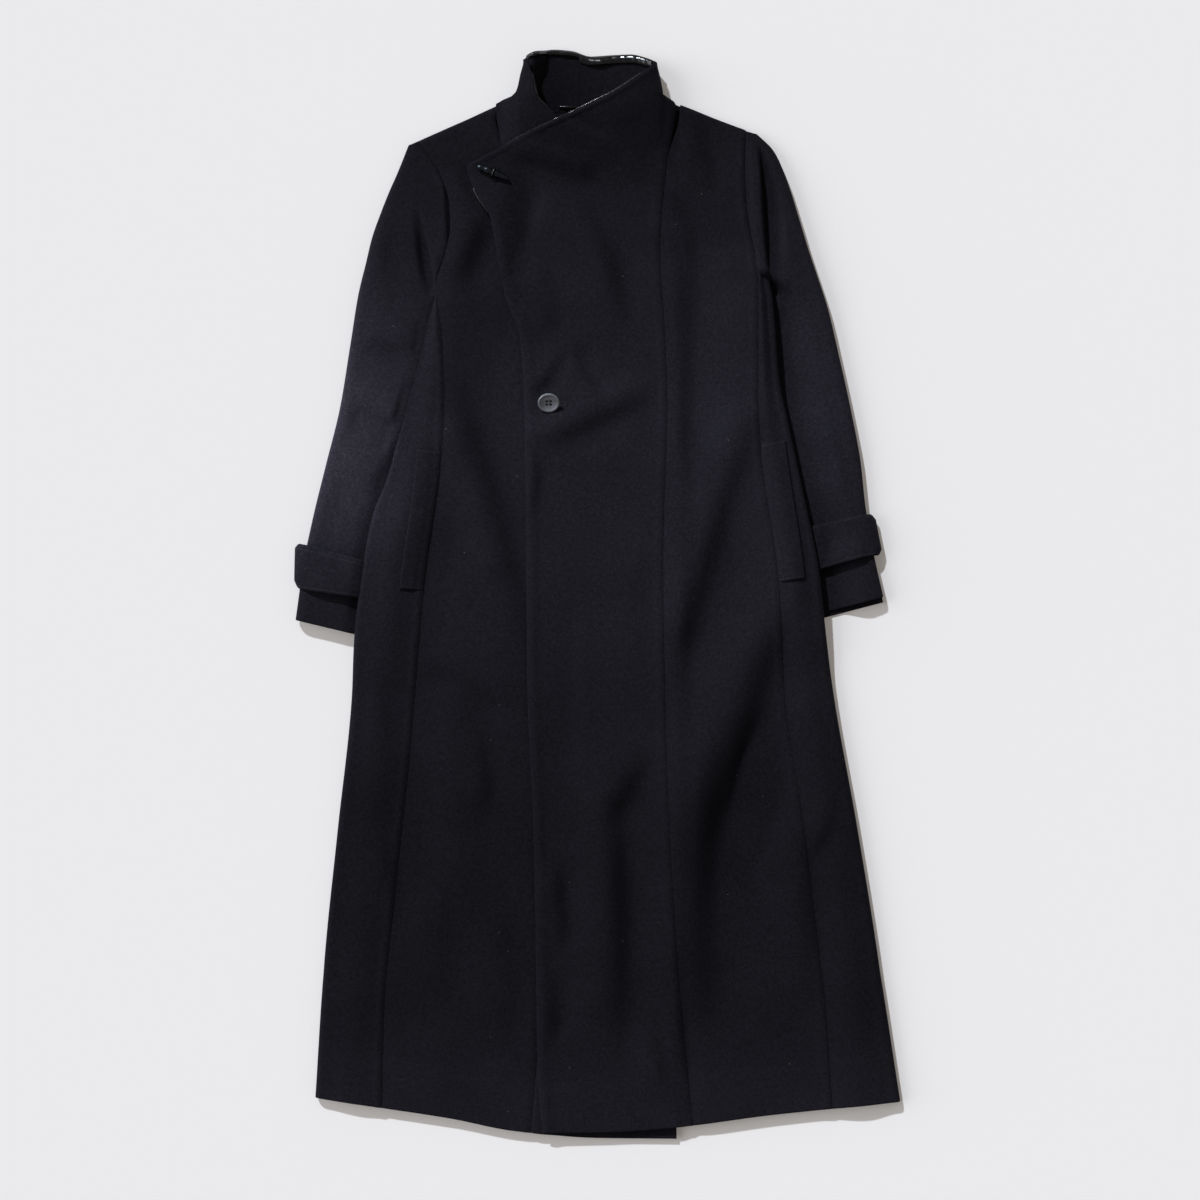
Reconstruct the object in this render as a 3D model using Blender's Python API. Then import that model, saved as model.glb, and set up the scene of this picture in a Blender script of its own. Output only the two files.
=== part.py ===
"""A long wool wrap coat, laid flat on its back: every cut piece is a thin wall of its own.

The coat lies on the plane z = 0 with its collar towards +Y and the photograph's right towards +X. Tables and
sizes are in millimetres. Each wall is lofted through sections: a row of points across the piece at each level,
worked out from the lines of the cut and from the heights of the layers that lie on each other.
"""
import math
from collections import namedtuple

import bpy
import numpy as np

MM = 0.001
# Middle of the coat's outline in the tables, which becomes the origin
CENTRE = (-0.73, 1.685)

# Cloth and seams
WOOL = 2.4
SEAM = 0.3
BACK_SEAM_GAP, SLEEVE_SEAM_GAP = 1.0, 1.2
HALF = WOOL / 2

# Heights of the layers, to the middle of the cloth
BACK_MID = HALF
FRONT_REST = 5.0
LAP, NECK_LAP = 3.6, 2.4
LAP_SLOPE = (16.0, 42.0)
FOLD_FADE = (-6.0, 24.0)
TUCKED_MID = WOOL + 0.5 + HALF
SIDE_SPREAD = (10.0, 105.0)
SIDE_WIDTH_BEHIND = 80.0
BACK_CENTRE = -8.0
BACK_SHORTER, BACK_STEP, BACK_CURVE = 8.0, 2.5, 16.0
ARMPIT, LEFT_ARMPIT, RIGHT_ARMPIT = 400.0, 346.0, 388.5
# Each shoulder: its level at the neck, and how far it drops to the arm
OVER_SHOULDER, UNDER_SHOULDER = (584.0, 33.0), (584.0, 42.0)
# Beside the collar each seam opens into a wedge, from this level up to this one and this wide
WEDGE_START, WEDGE_FULL, OVER_WEDGE, UNDER_WEDGE = 518.0, 570.0, 6.0, 2.0
LEFT_NECK_POINT, LEFT_ARM_POINT = (-121.0, 578.0), (-216.0, 538.0)
RIGHT_NECK_POINT, RIGHT_ARM_POINT = (94.0, 578.0), (177.0, 548.0)
# The roll at a side's fold: the most it takes of the panel's width, and where the flat part runs into it
ROLL_SHARE, ROLL_BLEND = 0.55, (0.3, 1.0)
SIDE_FLATS = 3
# How the lower leg of a side comes down inside the tucked sleeve's edge
SLEEVE_CLEAR = (8.0, 26.0)

# The collar is a flattened tube, and this is its section across the neck
NECK_CENTRE = -9.3
NECK_REACH = (1.3, 1.7)
NECK_START, NECK_FULL = 485.0, 600.0
NECK_FRONT_MID, NECK_BACK_MID = 23.3, 19.4
NECK_FRONT_RISE, NECK_BACK_DROP = 13.0, 18.2
NECK_OVER_EXTRA = 5.0
NECK_FLARE = 1.22
NECK_FLARE_FRONT, NECK_FLARE_BACK = 14.5, 14.0
BACK_NECK = 578.7
COLLAR_SEAM = -20.4
COLLAR_FOOT, COLLAR_FULL = 575.0, 605.0

# Small pieces
STRAP_THICK, STRAP_STAND, STRAP_LOOP, STRAP_LOW = 3.0, 1.0, 4.5, 1.7
STRAP_END_ANGLE = math.radians(-50.0)
WELT_THICK, WELT_WIDTH, WELT_INSET = 2.6, 28.0, 1.5
# Each welt: its upper and lower level, and how much it rises for each millimetre outwards
LEFT_WELT, RIGHT_WELT = (172.0, 5.5, 0.1), (180.5, 16.0, 0.16)
PIPING_RADIUS, PIPING_GAP = 1.2, 0.4
# Each stretch of piping: its upper and lower level
OVER_PIPING, EDGE_PIPING, UNDER_PIPING = (630.0, 520.0), (500.0, 440.0), (630.0, 570.0)
BINDING_THICK, BINDING_SHARE, BINDING_TOP, BINDING_REACH = 1.2, 0.16, 0.985, 0.8
HANGER_ACROSS, HANGER_LEVEL, HANGER_WIDTH, HANGER_BOW = (-45.0, -12.0), 586.0, 5.0, 2.5
BUTTON_CENTRE = (-57.6, 231.0)
BUTTON_FOOT, BUTTON_TILT = 10.8, math.radians(16.0)
TOGGLE_START, TOGGLE_END = (-143.0, 515.5), (-105.5, 500.0)
TOGGLE_RADIUS, TOGGLE_TAPER, TOGGLE_WAIST = 4.6, 0.62, 0.5
LOOP_RADIUS, LOOP_ANGLES = 1.1, (math.radians(-28.0), math.radians(208.0))
# The button's turned shape, from its foot to the well inside its rim, as radius and height
BUTTON_PROFILE = ((BUTTON_FOOT, 0.0), (12.6, 0.8), (13.0, 1.8), (13.0, 3.2), (12.4, 4.1), (11.2, 4.3), (10.0, 3.9),
                  (9.2, 3.1), (4.0, 2.9))
HOLE_RADIUS, HOLE_PLACE = 1.0, 2.6

Stop = namedtuple("Stop", "level across")
Hem = namedtuple("Hem", "across level")
SideRow = namedtuple("SideRow", "level lift roll")
SleeveRow = namedtuple("SleeveRow", "in_x in_y out_x out_y height tuck")
Fold = namedtuple("Fold", "x0 y0 x1 y1 width height")
NeckRow = namedtuple("NeckRow", "level half_width")
CollarRow = namedtuple("CollarRow", "share left right")

NECK_WIDTHS = [NeckRow(*row) for row in ((640, 77.5), (634, 79.3), (614, 84.2), (599, 87.5), (560, 88.5))]
# Sides of the back collar, from the neck seam to its top edge
COLLAR_SIDES = [CollarRow(*row) for row in (
    (0.0, -116, 91), (0.13, -107, 86), (0.3, -98, 78.4), (0.6, -92, 75.8), (1.0, -86.5, 71.5))]

# Lines of the cut: how far each lies across the coat, level by level from the collar to the hem
OVER_EDGE = [Stop(*row) for row in (
    (634, 69.6), (614, 41), (599, 18), (580, -19), (553, -80), (535, -116), (523, -140), (513, -155),
    (488, -147.5), (451, -127), (415, -120), (357, -109), (307, -91.5), (222, -86.5), (42, -84),
    (-101, -83), (-281, -75.5), (-462, -72), (-561, -71), (-640, -65))]
PRINCESS = [Stop(*row) for row in (
    (634, 71), (614, 76), (599, 78), (588, 94), (560, 91), (521, 84), (415, 75.5), (307, 81.5),
    (235, 84), (42, 79), (-125, 81.5), (-281, 87), (-450, 97), (-640, 115))]
UNDER_PRINCESS = [Stop(*row) for row in (
    (634, -87), (624, -90), (599, -97), (588, -121), (545, -115), (450, -75), (366, -62), (-450, -66),
    (-640, -79))]
UNDER_EDGE = [Stop(*row) for row in (
    (634, -82), (619, -77), (595, -72), (577, -53), (568, -44.5), (547, 0), (516, 42), (486, 74), (430, 104),
    (366, 108), (235, 103), (-125, 99), (-365, 92), (-640, 95))]
LEFT_SEAM = [Stop(*row) for row in (
    (541, -217), (524, -200.5), (499, -185), (470, -176.5), (441, -175), (418, -179), (366, -192),
    (307, -185), (235, -182.5), (175, -185), (5, -207), (-197, -224.5), (-365, -242.5), (-497, -254.5),
    (-640, -257.5))]
RIGHT_SEAM = [Stop(*row) for row in (
    (551, 178.5), (512, 176.5), (470, 178.5), (434, 183.5), (405, 189.5), (366, 192), (235, 192),
    (175, 195.5), (16, 217), (-125, 225.5), (-245, 243.5), (-365, 258), (-497, 273.5), (-640, 281.5))]
LEFT_FOLD = [Stop(*row) for row in (
    (560, -228), (450, -212), (366, -196), (307, -210), (235, -227), (140, -251), (98, -267.5), (40, -279),
    (-53, -290.5), (-125, -294), (-284, -311), (-450, -327.5), (-640, -337.5))]
RIGHT_FOLD = [Stop(*row) for row in (
    (560, 215), (450, 200), (388, 198), (307, 214.5), (235, 226), (175, 238), (107, 253), (31, 267.5),
    (-47, 275), (-125, 284.5), (-273, 311), (-435, 337), (-640, 363.5))]

# How far each side is lifted by the sleeve under it, and how large the roll of cloth at its fold is
LEFT_SIDE = [SideRow(*row) for row in (
    (560, 0, 3.0), (420, 0, 3.2), (366, 6.4, 3.8), (320, 6.4, 5.6), (120, 6.4, 6.0), (75, 9.8, 6.0),
    (-12, 9.8, 6.0), (-70, 6.4, 6.2), (-110, 0, 6.6), (-640, 0, 5.4))]
RIGHT_SIDE = [SideRow(*row) for row in (
    (560, 0, 3.0), (430, 0, 3.2), (388, 6.4, 3.4), (340, 6.4, 5.6), (140, 6.4, 6.0), (100, 9.8, 6.0),
    (18, 9.8, 6.0), (-40, 6.4, 6.2), (-80, 0, 6.6), (-640, 0, 5.4))]

# Hems, across the coat
UNDER_HEM = [Hem(*row) for row in ((-340, -601), (-254, -614), (-176, -626), (-100, -641), (0, -650), (100, -651))]
OVER_HEM = [Hem(*row) for row in ((-90, -643), (0, -642.5), (95, -636.5), (200, -623), (365, -606))]
COLLAR_TOP = [Hem(*row) for row in (
    (-90, 638), (-68, 651), (-50, 654.4), (-30, 653), (-8, 646.5), (20, 648), (40, 648.4), (58, 644), (78, 633))]

# Sleeves: the ends of each section, its height and how much of it lies tucked under the body
LEFT_SLEEVE = [SleeveRow(*row) for row in (
    (-217.5, 538.5, -226, 535, 9, 0), (-201, 523, -238, 508, 13, 0), (-186, 498, -249, 483, 16, 0),
    (-177.5, 470, -260, 455, 17.5, 0), (-176, 440, -269.5, 428, 18, 0), (-181, 412, -277, 397, 18, 0),
    (-192, 368, -286, 360, 17, 11), (-192.5, 300, -296, 298, 16, 22), (-197, 222, -308, 225, 15.5, 38),
    (-207, 145, -325, 156, 15.5, 48), (-217, 80, -340, 95, 15.5, 57), (-226, 15, -351, 42, 16, 60),
    (-234, -60, -361.2, -29.4, 17, 60))]
RIGHT_SLEEVE = [SleeveRow(*row) for row in (
    (181.5, 550, 191, 554, 9, 0), (178, 530, 212, 532, 13, 0), (177.5, 505, 227, 499, 16, 0),
    (179.5, 468, 241, 455, 17.5, 0), (184.5, 434, 253, 415, 18, 0), (190.3, 407, 265, 379, 18, 2),
    (187, 365, 277, 342, 17, 18), (181, 307, 290, 287, 16, 36), (187, 235, 305, 219, 15.5, 42),
    (196, 170, 316, 160, 15.5, 46), (206, 105, 322, 105, 15.5, 49), (217, 45, 331, 53, 16, 50),
    (228, -32, 343.2, -1.8, 17, 50))]
SLEEVE_RISE, TUCK_FULL, ARMHOLE_GAP = 38.0, 9.0, 0.8
RIGHT_CUFF_SHOW = 6.5
# Straps: the stretch of the sleeve's rows that each covers, and how far it reaches under the body
LEFT_STRAP_ROWS = (10.74, 11.52)
RIGHT_STRAP_ROWS = (10.20, 11.08)
STRAP_UNDER_BODY = 14.0

# The largest folds, as soft ridges on the fronts
FOLDS = [Fold(*row) for row in (
    (-104, 539, -20, 513, 26, 4.0),
    (-59, 487, -30, 355, 50, 5.0),
    (76, 443, 156, 400, 32, 3.5),
    (-62, 200, 50, 250, 32, 3.5),
    (165, 210, 100, -30, 46, 5.0),
    (-172, 187, -128, 42, 42, 4.5),
    (160, -150, 150, -420, 52, 4.5),
    (2, -210, 2, -470, 56, 4.5),
    (-176, -125, -168, -365, 60, 4.0))]

# Levels of the sections of the fronts and sides
COLLAR_LEVELS = list(np.linspace(629, 584, 5)) + list(np.linspace(573, 516, 6))
CHEST_LEVELS = list(np.linspace(494, 345, 8))
SKIRT_LEVELS = list(np.linspace(303, -640, 23))
LEVELS = COLLAR_LEVELS + CHEST_LEVELS + SKIRT_LEVELS
HEM_FROM, NOMINAL_HEM = -450.0, -640.0


def smooth(start, end, value):
    share = min(max((value - start) / (end - start), 0.0), 1.0)
    return share * share * (3 - 2 * share)


def mix(first, second, share):
    return first + (second - first) * share


def through(rows, column, by="level"):
    """A smooth curve through one column of a table, with no overshoot between its rows."""
    ordered = sorted(rows, key=lambda row: getattr(row, by))
    at = np.array([getattr(row, by) for row in ordered], float)
    value = np.array([getattr(row, column) for row in ordered], float)
    steps = np.diff(at)
    rates = np.diff(value) / steps
    slopes = np.concatenate(([rates[0]], np.zeros(len(rates) - 1), [rates[-1]]))
    for k in range(1, len(rates)):
        if rates[k - 1] * rates[k] > 0:
            slopes[k] = 2 * rates[k - 1] * rates[k] / (rates[k - 1] + rates[k])

    def curve(place):
        place = min(max(place, at[0]), at[-1])
        k = min(max(int(np.searchsorted(at, place)) - 1, 0), len(steps) - 1)
        share = (place - at[k]) / steps[k]
        rest = 1 - share
        return ((1 + 2 * share) * rest ** 2 * value[k] + share * rest ** 2 * steps[k] * slopes[k]
                + share ** 2 * (3 - 2 * share) * value[k + 1] - share ** 2 * rest * steps[k] * slopes[k + 1])

    return curve


over_edge = through(OVER_EDGE, "across")
princess = through(PRINCESS, "across")
under_princess = through(UNDER_PRINCESS, "across")
under_edge = through(UNDER_EDGE, "across")
left_seam = through(LEFT_SEAM, "across")
right_seam = through(RIGHT_SEAM, "across")
left_fold = through(LEFT_FOLD, "across")
right_fold = through(RIGHT_FOLD, "across")
left_lift = through(LEFT_SIDE, "lift")
right_lift = through(RIGHT_SIDE, "lift")
left_roll = through(LEFT_SIDE, "roll")
right_roll = through(RIGHT_SIDE, "roll")
under_hem = through(UNDER_HEM, "level", by="across")
over_hem = through(OVER_HEM, "level", by="across")
collar_top = through(COLLAR_TOP, "level", by="across")
neck_half_width = through(NECK_WIDTHS, "half_width")


def to_hem(level, x, hem):
    """The true level of a section that settles on the hem's curve towards its lower end."""
    if level > HEM_FROM:
        return level
    return HEM_FROM + (level - HEM_FROM) * (hem(x) - HEM_FROM) / (NOMINAL_HEM - HEM_FROM)


def fold_height(x, y):
    total = 0.0
    for fold in FOLDS:
        run = (fold.x1 - fold.x0, fold.y1 - fold.y0)
        share = ((x - fold.x0) * run[0] + (y - fold.y0) * run[1]) / (run[0] ** 2 + run[1] ** 2)
        share = min(max(share, 0.0), 1.0)
        away = math.hypot(x - fold.x0 - share * run[0], y - fold.y0 - share * run[1])
        total += fold.height * math.exp(-(2 * away / fold.width) ** 2)
    return total


def side_rise(x, y):
    """How far the fronts rise towards the rolls of cloth at the two sides."""
    left_top = BACK_MID + left_lift(y) + 2 * left_roll(y) - FRONT_REST
    right_top = BACK_MID + right_lift(y) + 2 * right_roll(y) - FRONT_REST
    left = left_top * (1 - smooth(*SIDE_SPREAD, x - left_fold(y)))
    right = right_top * (1 - smooth(*SIDE_SPREAD, right_fold(y) - x))
    return left + right


def neck_arch(x, y):
    """Height share of the flattened collar tube, and how far a point lies on the flare beside it."""
    place = abs(x - NECK_CENTRE) / neck_half_width(y)
    return math.sqrt(max(0.0, 1 - place * place)), smooth(1.0, NECK_FLARE, place)


def bare_height(x, y):
    """Middle of the front layer that lies next to the back, without folds."""
    flat = FRONT_REST + side_rise(x, y)
    arch, flare = neck_arch(x, y)
    tube = NECK_FRONT_MID + NECK_FRONT_RISE * arch - NECK_FLARE_FRONT * flare
    reach = 1 - smooth(*NECK_REACH, abs(x - NECK_CENTRE) / neck_half_width(y))
    return mix(flat, tube, smooth(NECK_START, NECK_FULL, y) * reach)


def front_height(x, y):
    """Middle of the under front, with folds only where the other front leaves it open."""
    inside = x - over_edge(y)
    return bare_height(x, y) + fold_height(x, y) * (1 - smooth(*FOLD_FADE, inside))


def over_height(x, y):
    """Middle of the front that lies over the other, and steps down beyond that one's hidden edge."""
    edge = under_edge(y)
    neck = smooth(NECK_START, NECK_FULL, y)
    lap = (LAP + NECK_LAP * neck) * (1 - smooth(edge + LAP_SLOPE[0], edge + LAP_SLOPE[1], x))
    return bare_height(x, y) + fold_height(x, y) + lap + NECK_OVER_EXTRA * neck_arch(x, y)[0] * neck


def collar_back_height(x, y):
    arch, flare = neck_arch(x, y)
    tube = NECK_BACK_MID - NECK_BACK_DROP * arch - NECK_FLARE_BACK * flare
    return mix(BACK_MID, tube, smooth(COLLAR_FOOT, COLLAR_FULL, y))


def shares(count):
    return [k / count for k in range(count + 1)]


def material(name, colour, roughness):
    made = bpy.data.materials.new(name)
    made.use_nodes = True
    shader = made.node_tree.nodes["Principled BSDF"]
    shader.inputs["Base Color"].default_value = (*colour, 1.0)
    shader.inputs["Roughness"].default_value = roughness
    shader.inputs["Metallic"].default_value = 0.0
    return made


def add_object(name, points, faces, look):
    mesh = bpy.data.meshes.new(name)
    mesh.from_pydata([tuple(c * MM for c in point) for point in points], [], faces)
    mesh.materials.append(LOOKS[look])
    mesh.shade_smooth()
    mesh.set_sharp_from_angle(angle=math.radians(50.0))
    made = bpy.data.objects.new(name, mesh)
    bpy.context.scene.collection.objects.link(made)
    return made


def normals(grid):
    """Unit vectors square to a grid of points."""
    middle = np.array(grid, float)
    square = np.cross(np.gradient(middle, axis=1), np.gradient(middle, axis=0))
    return square / np.linalg.norm(square, axis=2, keepdims=True)


def moved_up(grid, distance):
    """A grid of points moved out of its own surface, upwards."""
    square = normals(grid)
    square *= np.sign(square[:, :, 2:])
    return np.array(grid, float) + square * distance


def wall(name, grid, thick=WOOL, look="wool"):
    """A closed wall from a grid of middle points: rows run along the piece and columns across it."""
    middle = np.array(grid, float)
    offset = normals(grid) * thick / 2
    rows, columns = middle.shape[:2]
    points = list((middle - offset).reshape(-1, 3)) + list((middle + offset).reshape(-1, 3))

    def index(place, side):
        return place[0] * columns + place[1] + side * rows * columns

    faces = []
    for row in range(rows - 1):
        for column in range(columns - 1):
            corners = (row, column), (row, column + 1), (row + 1, column + 1), (row + 1, column)
            faces.append([index(place, 1) for place in corners])
            faces.append([index(place, 0) for place in reversed(corners)])
    rim = [(0, column) for column in range(columns)]
    rim += [(row, columns - 1) for row in range(1, rows)]
    rim += [(rows - 1, column) for column in range(columns - 2, -1, -1)]
    rim += [(row, 0) for row in range(rows - 2, 0, -1)]
    for here, there in zip(rim, rim[1:] + rim[:1]):
        faces.append([index(there, 1), index(here, 1), index(here, 0), index(there, 0)])
    return add_object(name, points, faces, look)


def tube(name, path, radii, look, sides=6):
    """A round bar along a path of points, with a radius at each and flat ends."""
    path = np.array(path, float)
    along = np.gradient(path, axis=0)
    along /= np.linalg.norm(along, axis=1, keepdims=True)
    up = np.array((0.0, 0.0, 1.0))
    points = []
    for place, heading, radius in zip(path, along, radii):
        aside = np.cross(heading, up)
        aside /= np.linalg.norm(aside)
        over = np.cross(aside, heading)
        for k in range(sides):
            turn = 2 * math.pi * k / sides
            points.append(place + radius * (math.cos(turn) * aside + math.sin(turn) * over))
    faces = []
    for row in range(len(path) - 1):
        for k in range(sides):
            here, there = row * sides + k, row * sides + (k + 1) % sides
            faces.append([here, here + sides, there + sides, there])
    faces.append(list(range(sides)))
    faces.append([(len(path) - 1) * sides + k for k in range(sides - 1, -1, -1)])
    return add_object(name, points, faces, look)


def no_tilt(level, share):
    return 0.0


def shoulder_tilt(top, run, arm_share):
    """How far a section drops from the neck to the arm, less and less down to the armpit."""
    def tilt(level, share):
        return run * max(0.0, (level - ARMPIT) / (top - ARMPIT)) * (1 - abs(share - arm_share))
    return tilt


def front_panel(name, levels, left, right, height, hem, columns, tilt=no_tilt):
    """A front piece between two lines of the cut, lying at the height of its layer."""
    grid = []
    for level in levels:
        edge_left = left(level - tilt(level, 0.0)) + SEAM / 2
        edge_right = right(level - tilt(level, 1.0)) - SEAM / 2
        row = []
        for share in shares(columns):
            x = mix(edge_left, edge_right, share)
            y = to_hem(level - tilt(level, share), x, hem)
            row.append((x, y, height(x, y)))
        grid.append(row)
    return wall(name, grid)


def over_neck_edge(level):
    return princess(level) + OVER_WEDGE * smooth(WEDGE_START, WEDGE_FULL, level)


def under_neck_edge(level):
    return under_princess(level) - UNDER_WEDGE * smooth(WEDGE_START, WEDGE_FULL, level)


def levels_from(top):
    return [level for level in LEVELS if level <= top]


def make_fronts():
    front_panel("over_front_centre", LEVELS, over_edge, princess, over_height, over_hem, 11)
    front_panel("over_front_side", levels_from(OVER_SHOULDER[0]), over_neck_edge, right_seam, over_height, over_hem,
                6, shoulder_tilt(*OVER_SHOULDER, 1))
    front_panel("under_front_centre", LEVELS, under_princess, under_edge, front_height, under_hem, 8)
    front_panel("under_front_side", levels_from(UNDER_SHOULDER[0]), left_seam, under_neck_edge, front_height,
                under_hem, 6, shoulder_tilt(*UNDER_SHOULDER, 0))


class Side:
    """One side panel: its lines, its roll and the sleeve that it lies on."""

    def __init__(self, sign, seam, fold, lift, roll, sleeve, height, hem):
        self.sign, self.seam, self.fold = sign, seam, fold
        self.lift, self.roll = lift, roll
        self.height, self.hem = height, hem
        tucked = [Stop(row.in_y, row.in_x) for row in sleeve if row.in_y < ARMPIT]
        self.sleeve_edge = through(tucked, "across")

    def radius(self, level):
        return min(self.roll(level), ROLL_SHARE * abs(self.fold(level) - self.seam(level)))

    def turn(self, level):
        """Where the roll starts, across the coat."""
        return self.fold(level) - self.sign * (self.radius(level) + HALF)

    def low(self, level):
        return BACK_MID + self.lift(level)

    def top_point(self, level, x):
        """A point on the panel's upper leg, between the seam and the roll."""
        seam = self.seam(level)
        share = (x - seam) / (self.turn(level) - seam)
        y = to_hem(level, x, self.hem)
        top = self.low(level) + 2 * self.radius(level)
        return x, y, mix(self.height(x, y), top, smooth(*ROLL_BLEND, share))

    def made_height(self, level, x):
        """Height of the upper leg as it is made, straight between its sections."""
        above = min(section for section in LEVELS if section >= level)
        below = max(section for section in LEVELS if section < level)
        across = (x - self.seam(level)) / (self.turn(level) - self.seam(level))
        heights = []
        for section in (below, above):
            seam, turn = self.seam(section), self.turn(section)
            column = [self.top_point(section, mix(seam, turn, share))[2] for share in shares(SIDE_FLATS)]
            heights.append(np.interp(across, shares(SIDE_FLATS), column))
        return mix(*heights, (level - below) / (above - below))

    def roll_point(self, level, angle):
        x = self.turn(level) + self.sign * self.radius(level) * math.cos(angle)
        z = self.low(level) + self.radius(level) * (1 + math.sin(angle))
        return x, to_hem(level, x, self.hem), z

    def low_point(self, level, x):
        """A point on the lower leg: over the tucked sleeve, then down to the surface."""
        clear = self.sign * (self.sleeve_edge(level) - x)
        z = BACK_MID + self.lift(level) * (1 - smooth(*SLEEVE_CLEAR, clear))
        return x, to_hem(level, x, self.hem), z

    def grid(self, levels):
        rows = []
        for level in levels:
            seam = self.seam(level) + self.sign * SEAM / 2
            turn = self.turn(level)
            behind = self.fold(level) - self.sign * SIDE_WIDTH_BEHIND
            row = [self.top_point(level, mix(seam, turn, share)) for share in shares(SIDE_FLATS)[:-1]]
            row += [self.roll_point(level, math.pi * (0.5 - share)) for share in shares(5)]
            row += [self.low_point(level, mix(turn, behind, share)) for share in shares(5)[1:]]
            rows.append(row)
        return rows


LEFT = Side(-1, left_seam, left_fold, left_lift, left_roll, LEFT_SLEEVE, front_height, under_hem)
RIGHT = Side(1, right_seam, right_fold, right_lift, right_roll, RIGHT_SLEEVE, over_height, over_hem)


def make_sides():
    wall("side_left", LEFT.grid([level for level in LEVELS if level < LEFT_ARMPIT]))
    wall("side_right", RIGHT.grid([level for level in LEVELS if level < RIGHT_ARMPIT]))


def back_top(x):
    """The back's upper edge: the straight neck line, and a shoulder line down to each arm."""
    for neck, arm in ((LEFT_NECK_POINT, LEFT_ARM_POINT), (RIGHT_NECK_POINT, RIGHT_ARM_POINT)):
        share = (x - neck[0]) / (arm[0] - neck[0])
        if share > 0:
            return mix(neck[1], arm[1], share)
    return BACK_NECK


def back_panel(name, side, armpit):
    """Half of the back: flat on the surface, from the centre seam to the side panel and the armhole."""
    centre = BACK_CENTRE + side.sign * SEAM / 2
    grid = []
    for level in list(np.linspace(BACK_NECK, armpit + BACK_CURVE, 9)) + [armpit + BACK_STEP]:
        ramp = (level - armpit) / (BACK_NECK - armpit)
        outer = side.seam(level)
        for repeat in range(6):
            y = level - ramp * (BACK_NECK - back_top(outer))
            behind = side.fold(level) - side.sign * (SIDE_WIDTH_BEHIND + BACK_SEAM_GAP)
            arm = side.seam(y) - side.sign * BACK_SEAM_GAP
            outer = mix(behind, arm, smooth(armpit + BACK_STEP, armpit + BACK_CURVE, level))
        row = [mix(centre, outer, share) for share in shares(4)]
        grid.append([(x, level - ramp * (BACK_NECK - back_top(x)), BACK_MID) for x in row])
    for level in LEVELS:
        if level < armpit:
            shorter = BACK_SHORTER * max(0.0, (HEM_FROM - level) / (HEM_FROM - NOMINAL_HEM))
            outer = side.fold(level + shorter) - side.sign * (SIDE_WIDTH_BEHIND + BACK_SEAM_GAP)
            row = [mix(centre, outer, share) for share in shares(4)]
            grid.append([(x, to_hem(level, x, side.hem) + shorter, BACK_MID) for x in row])
    return wall(name, grid)


def make_backs():
    back_panel("back_left", LEFT, LEFT_ARMPIT)
    back_panel("back_right", RIGHT, RIGHT_ARMPIT)


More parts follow.
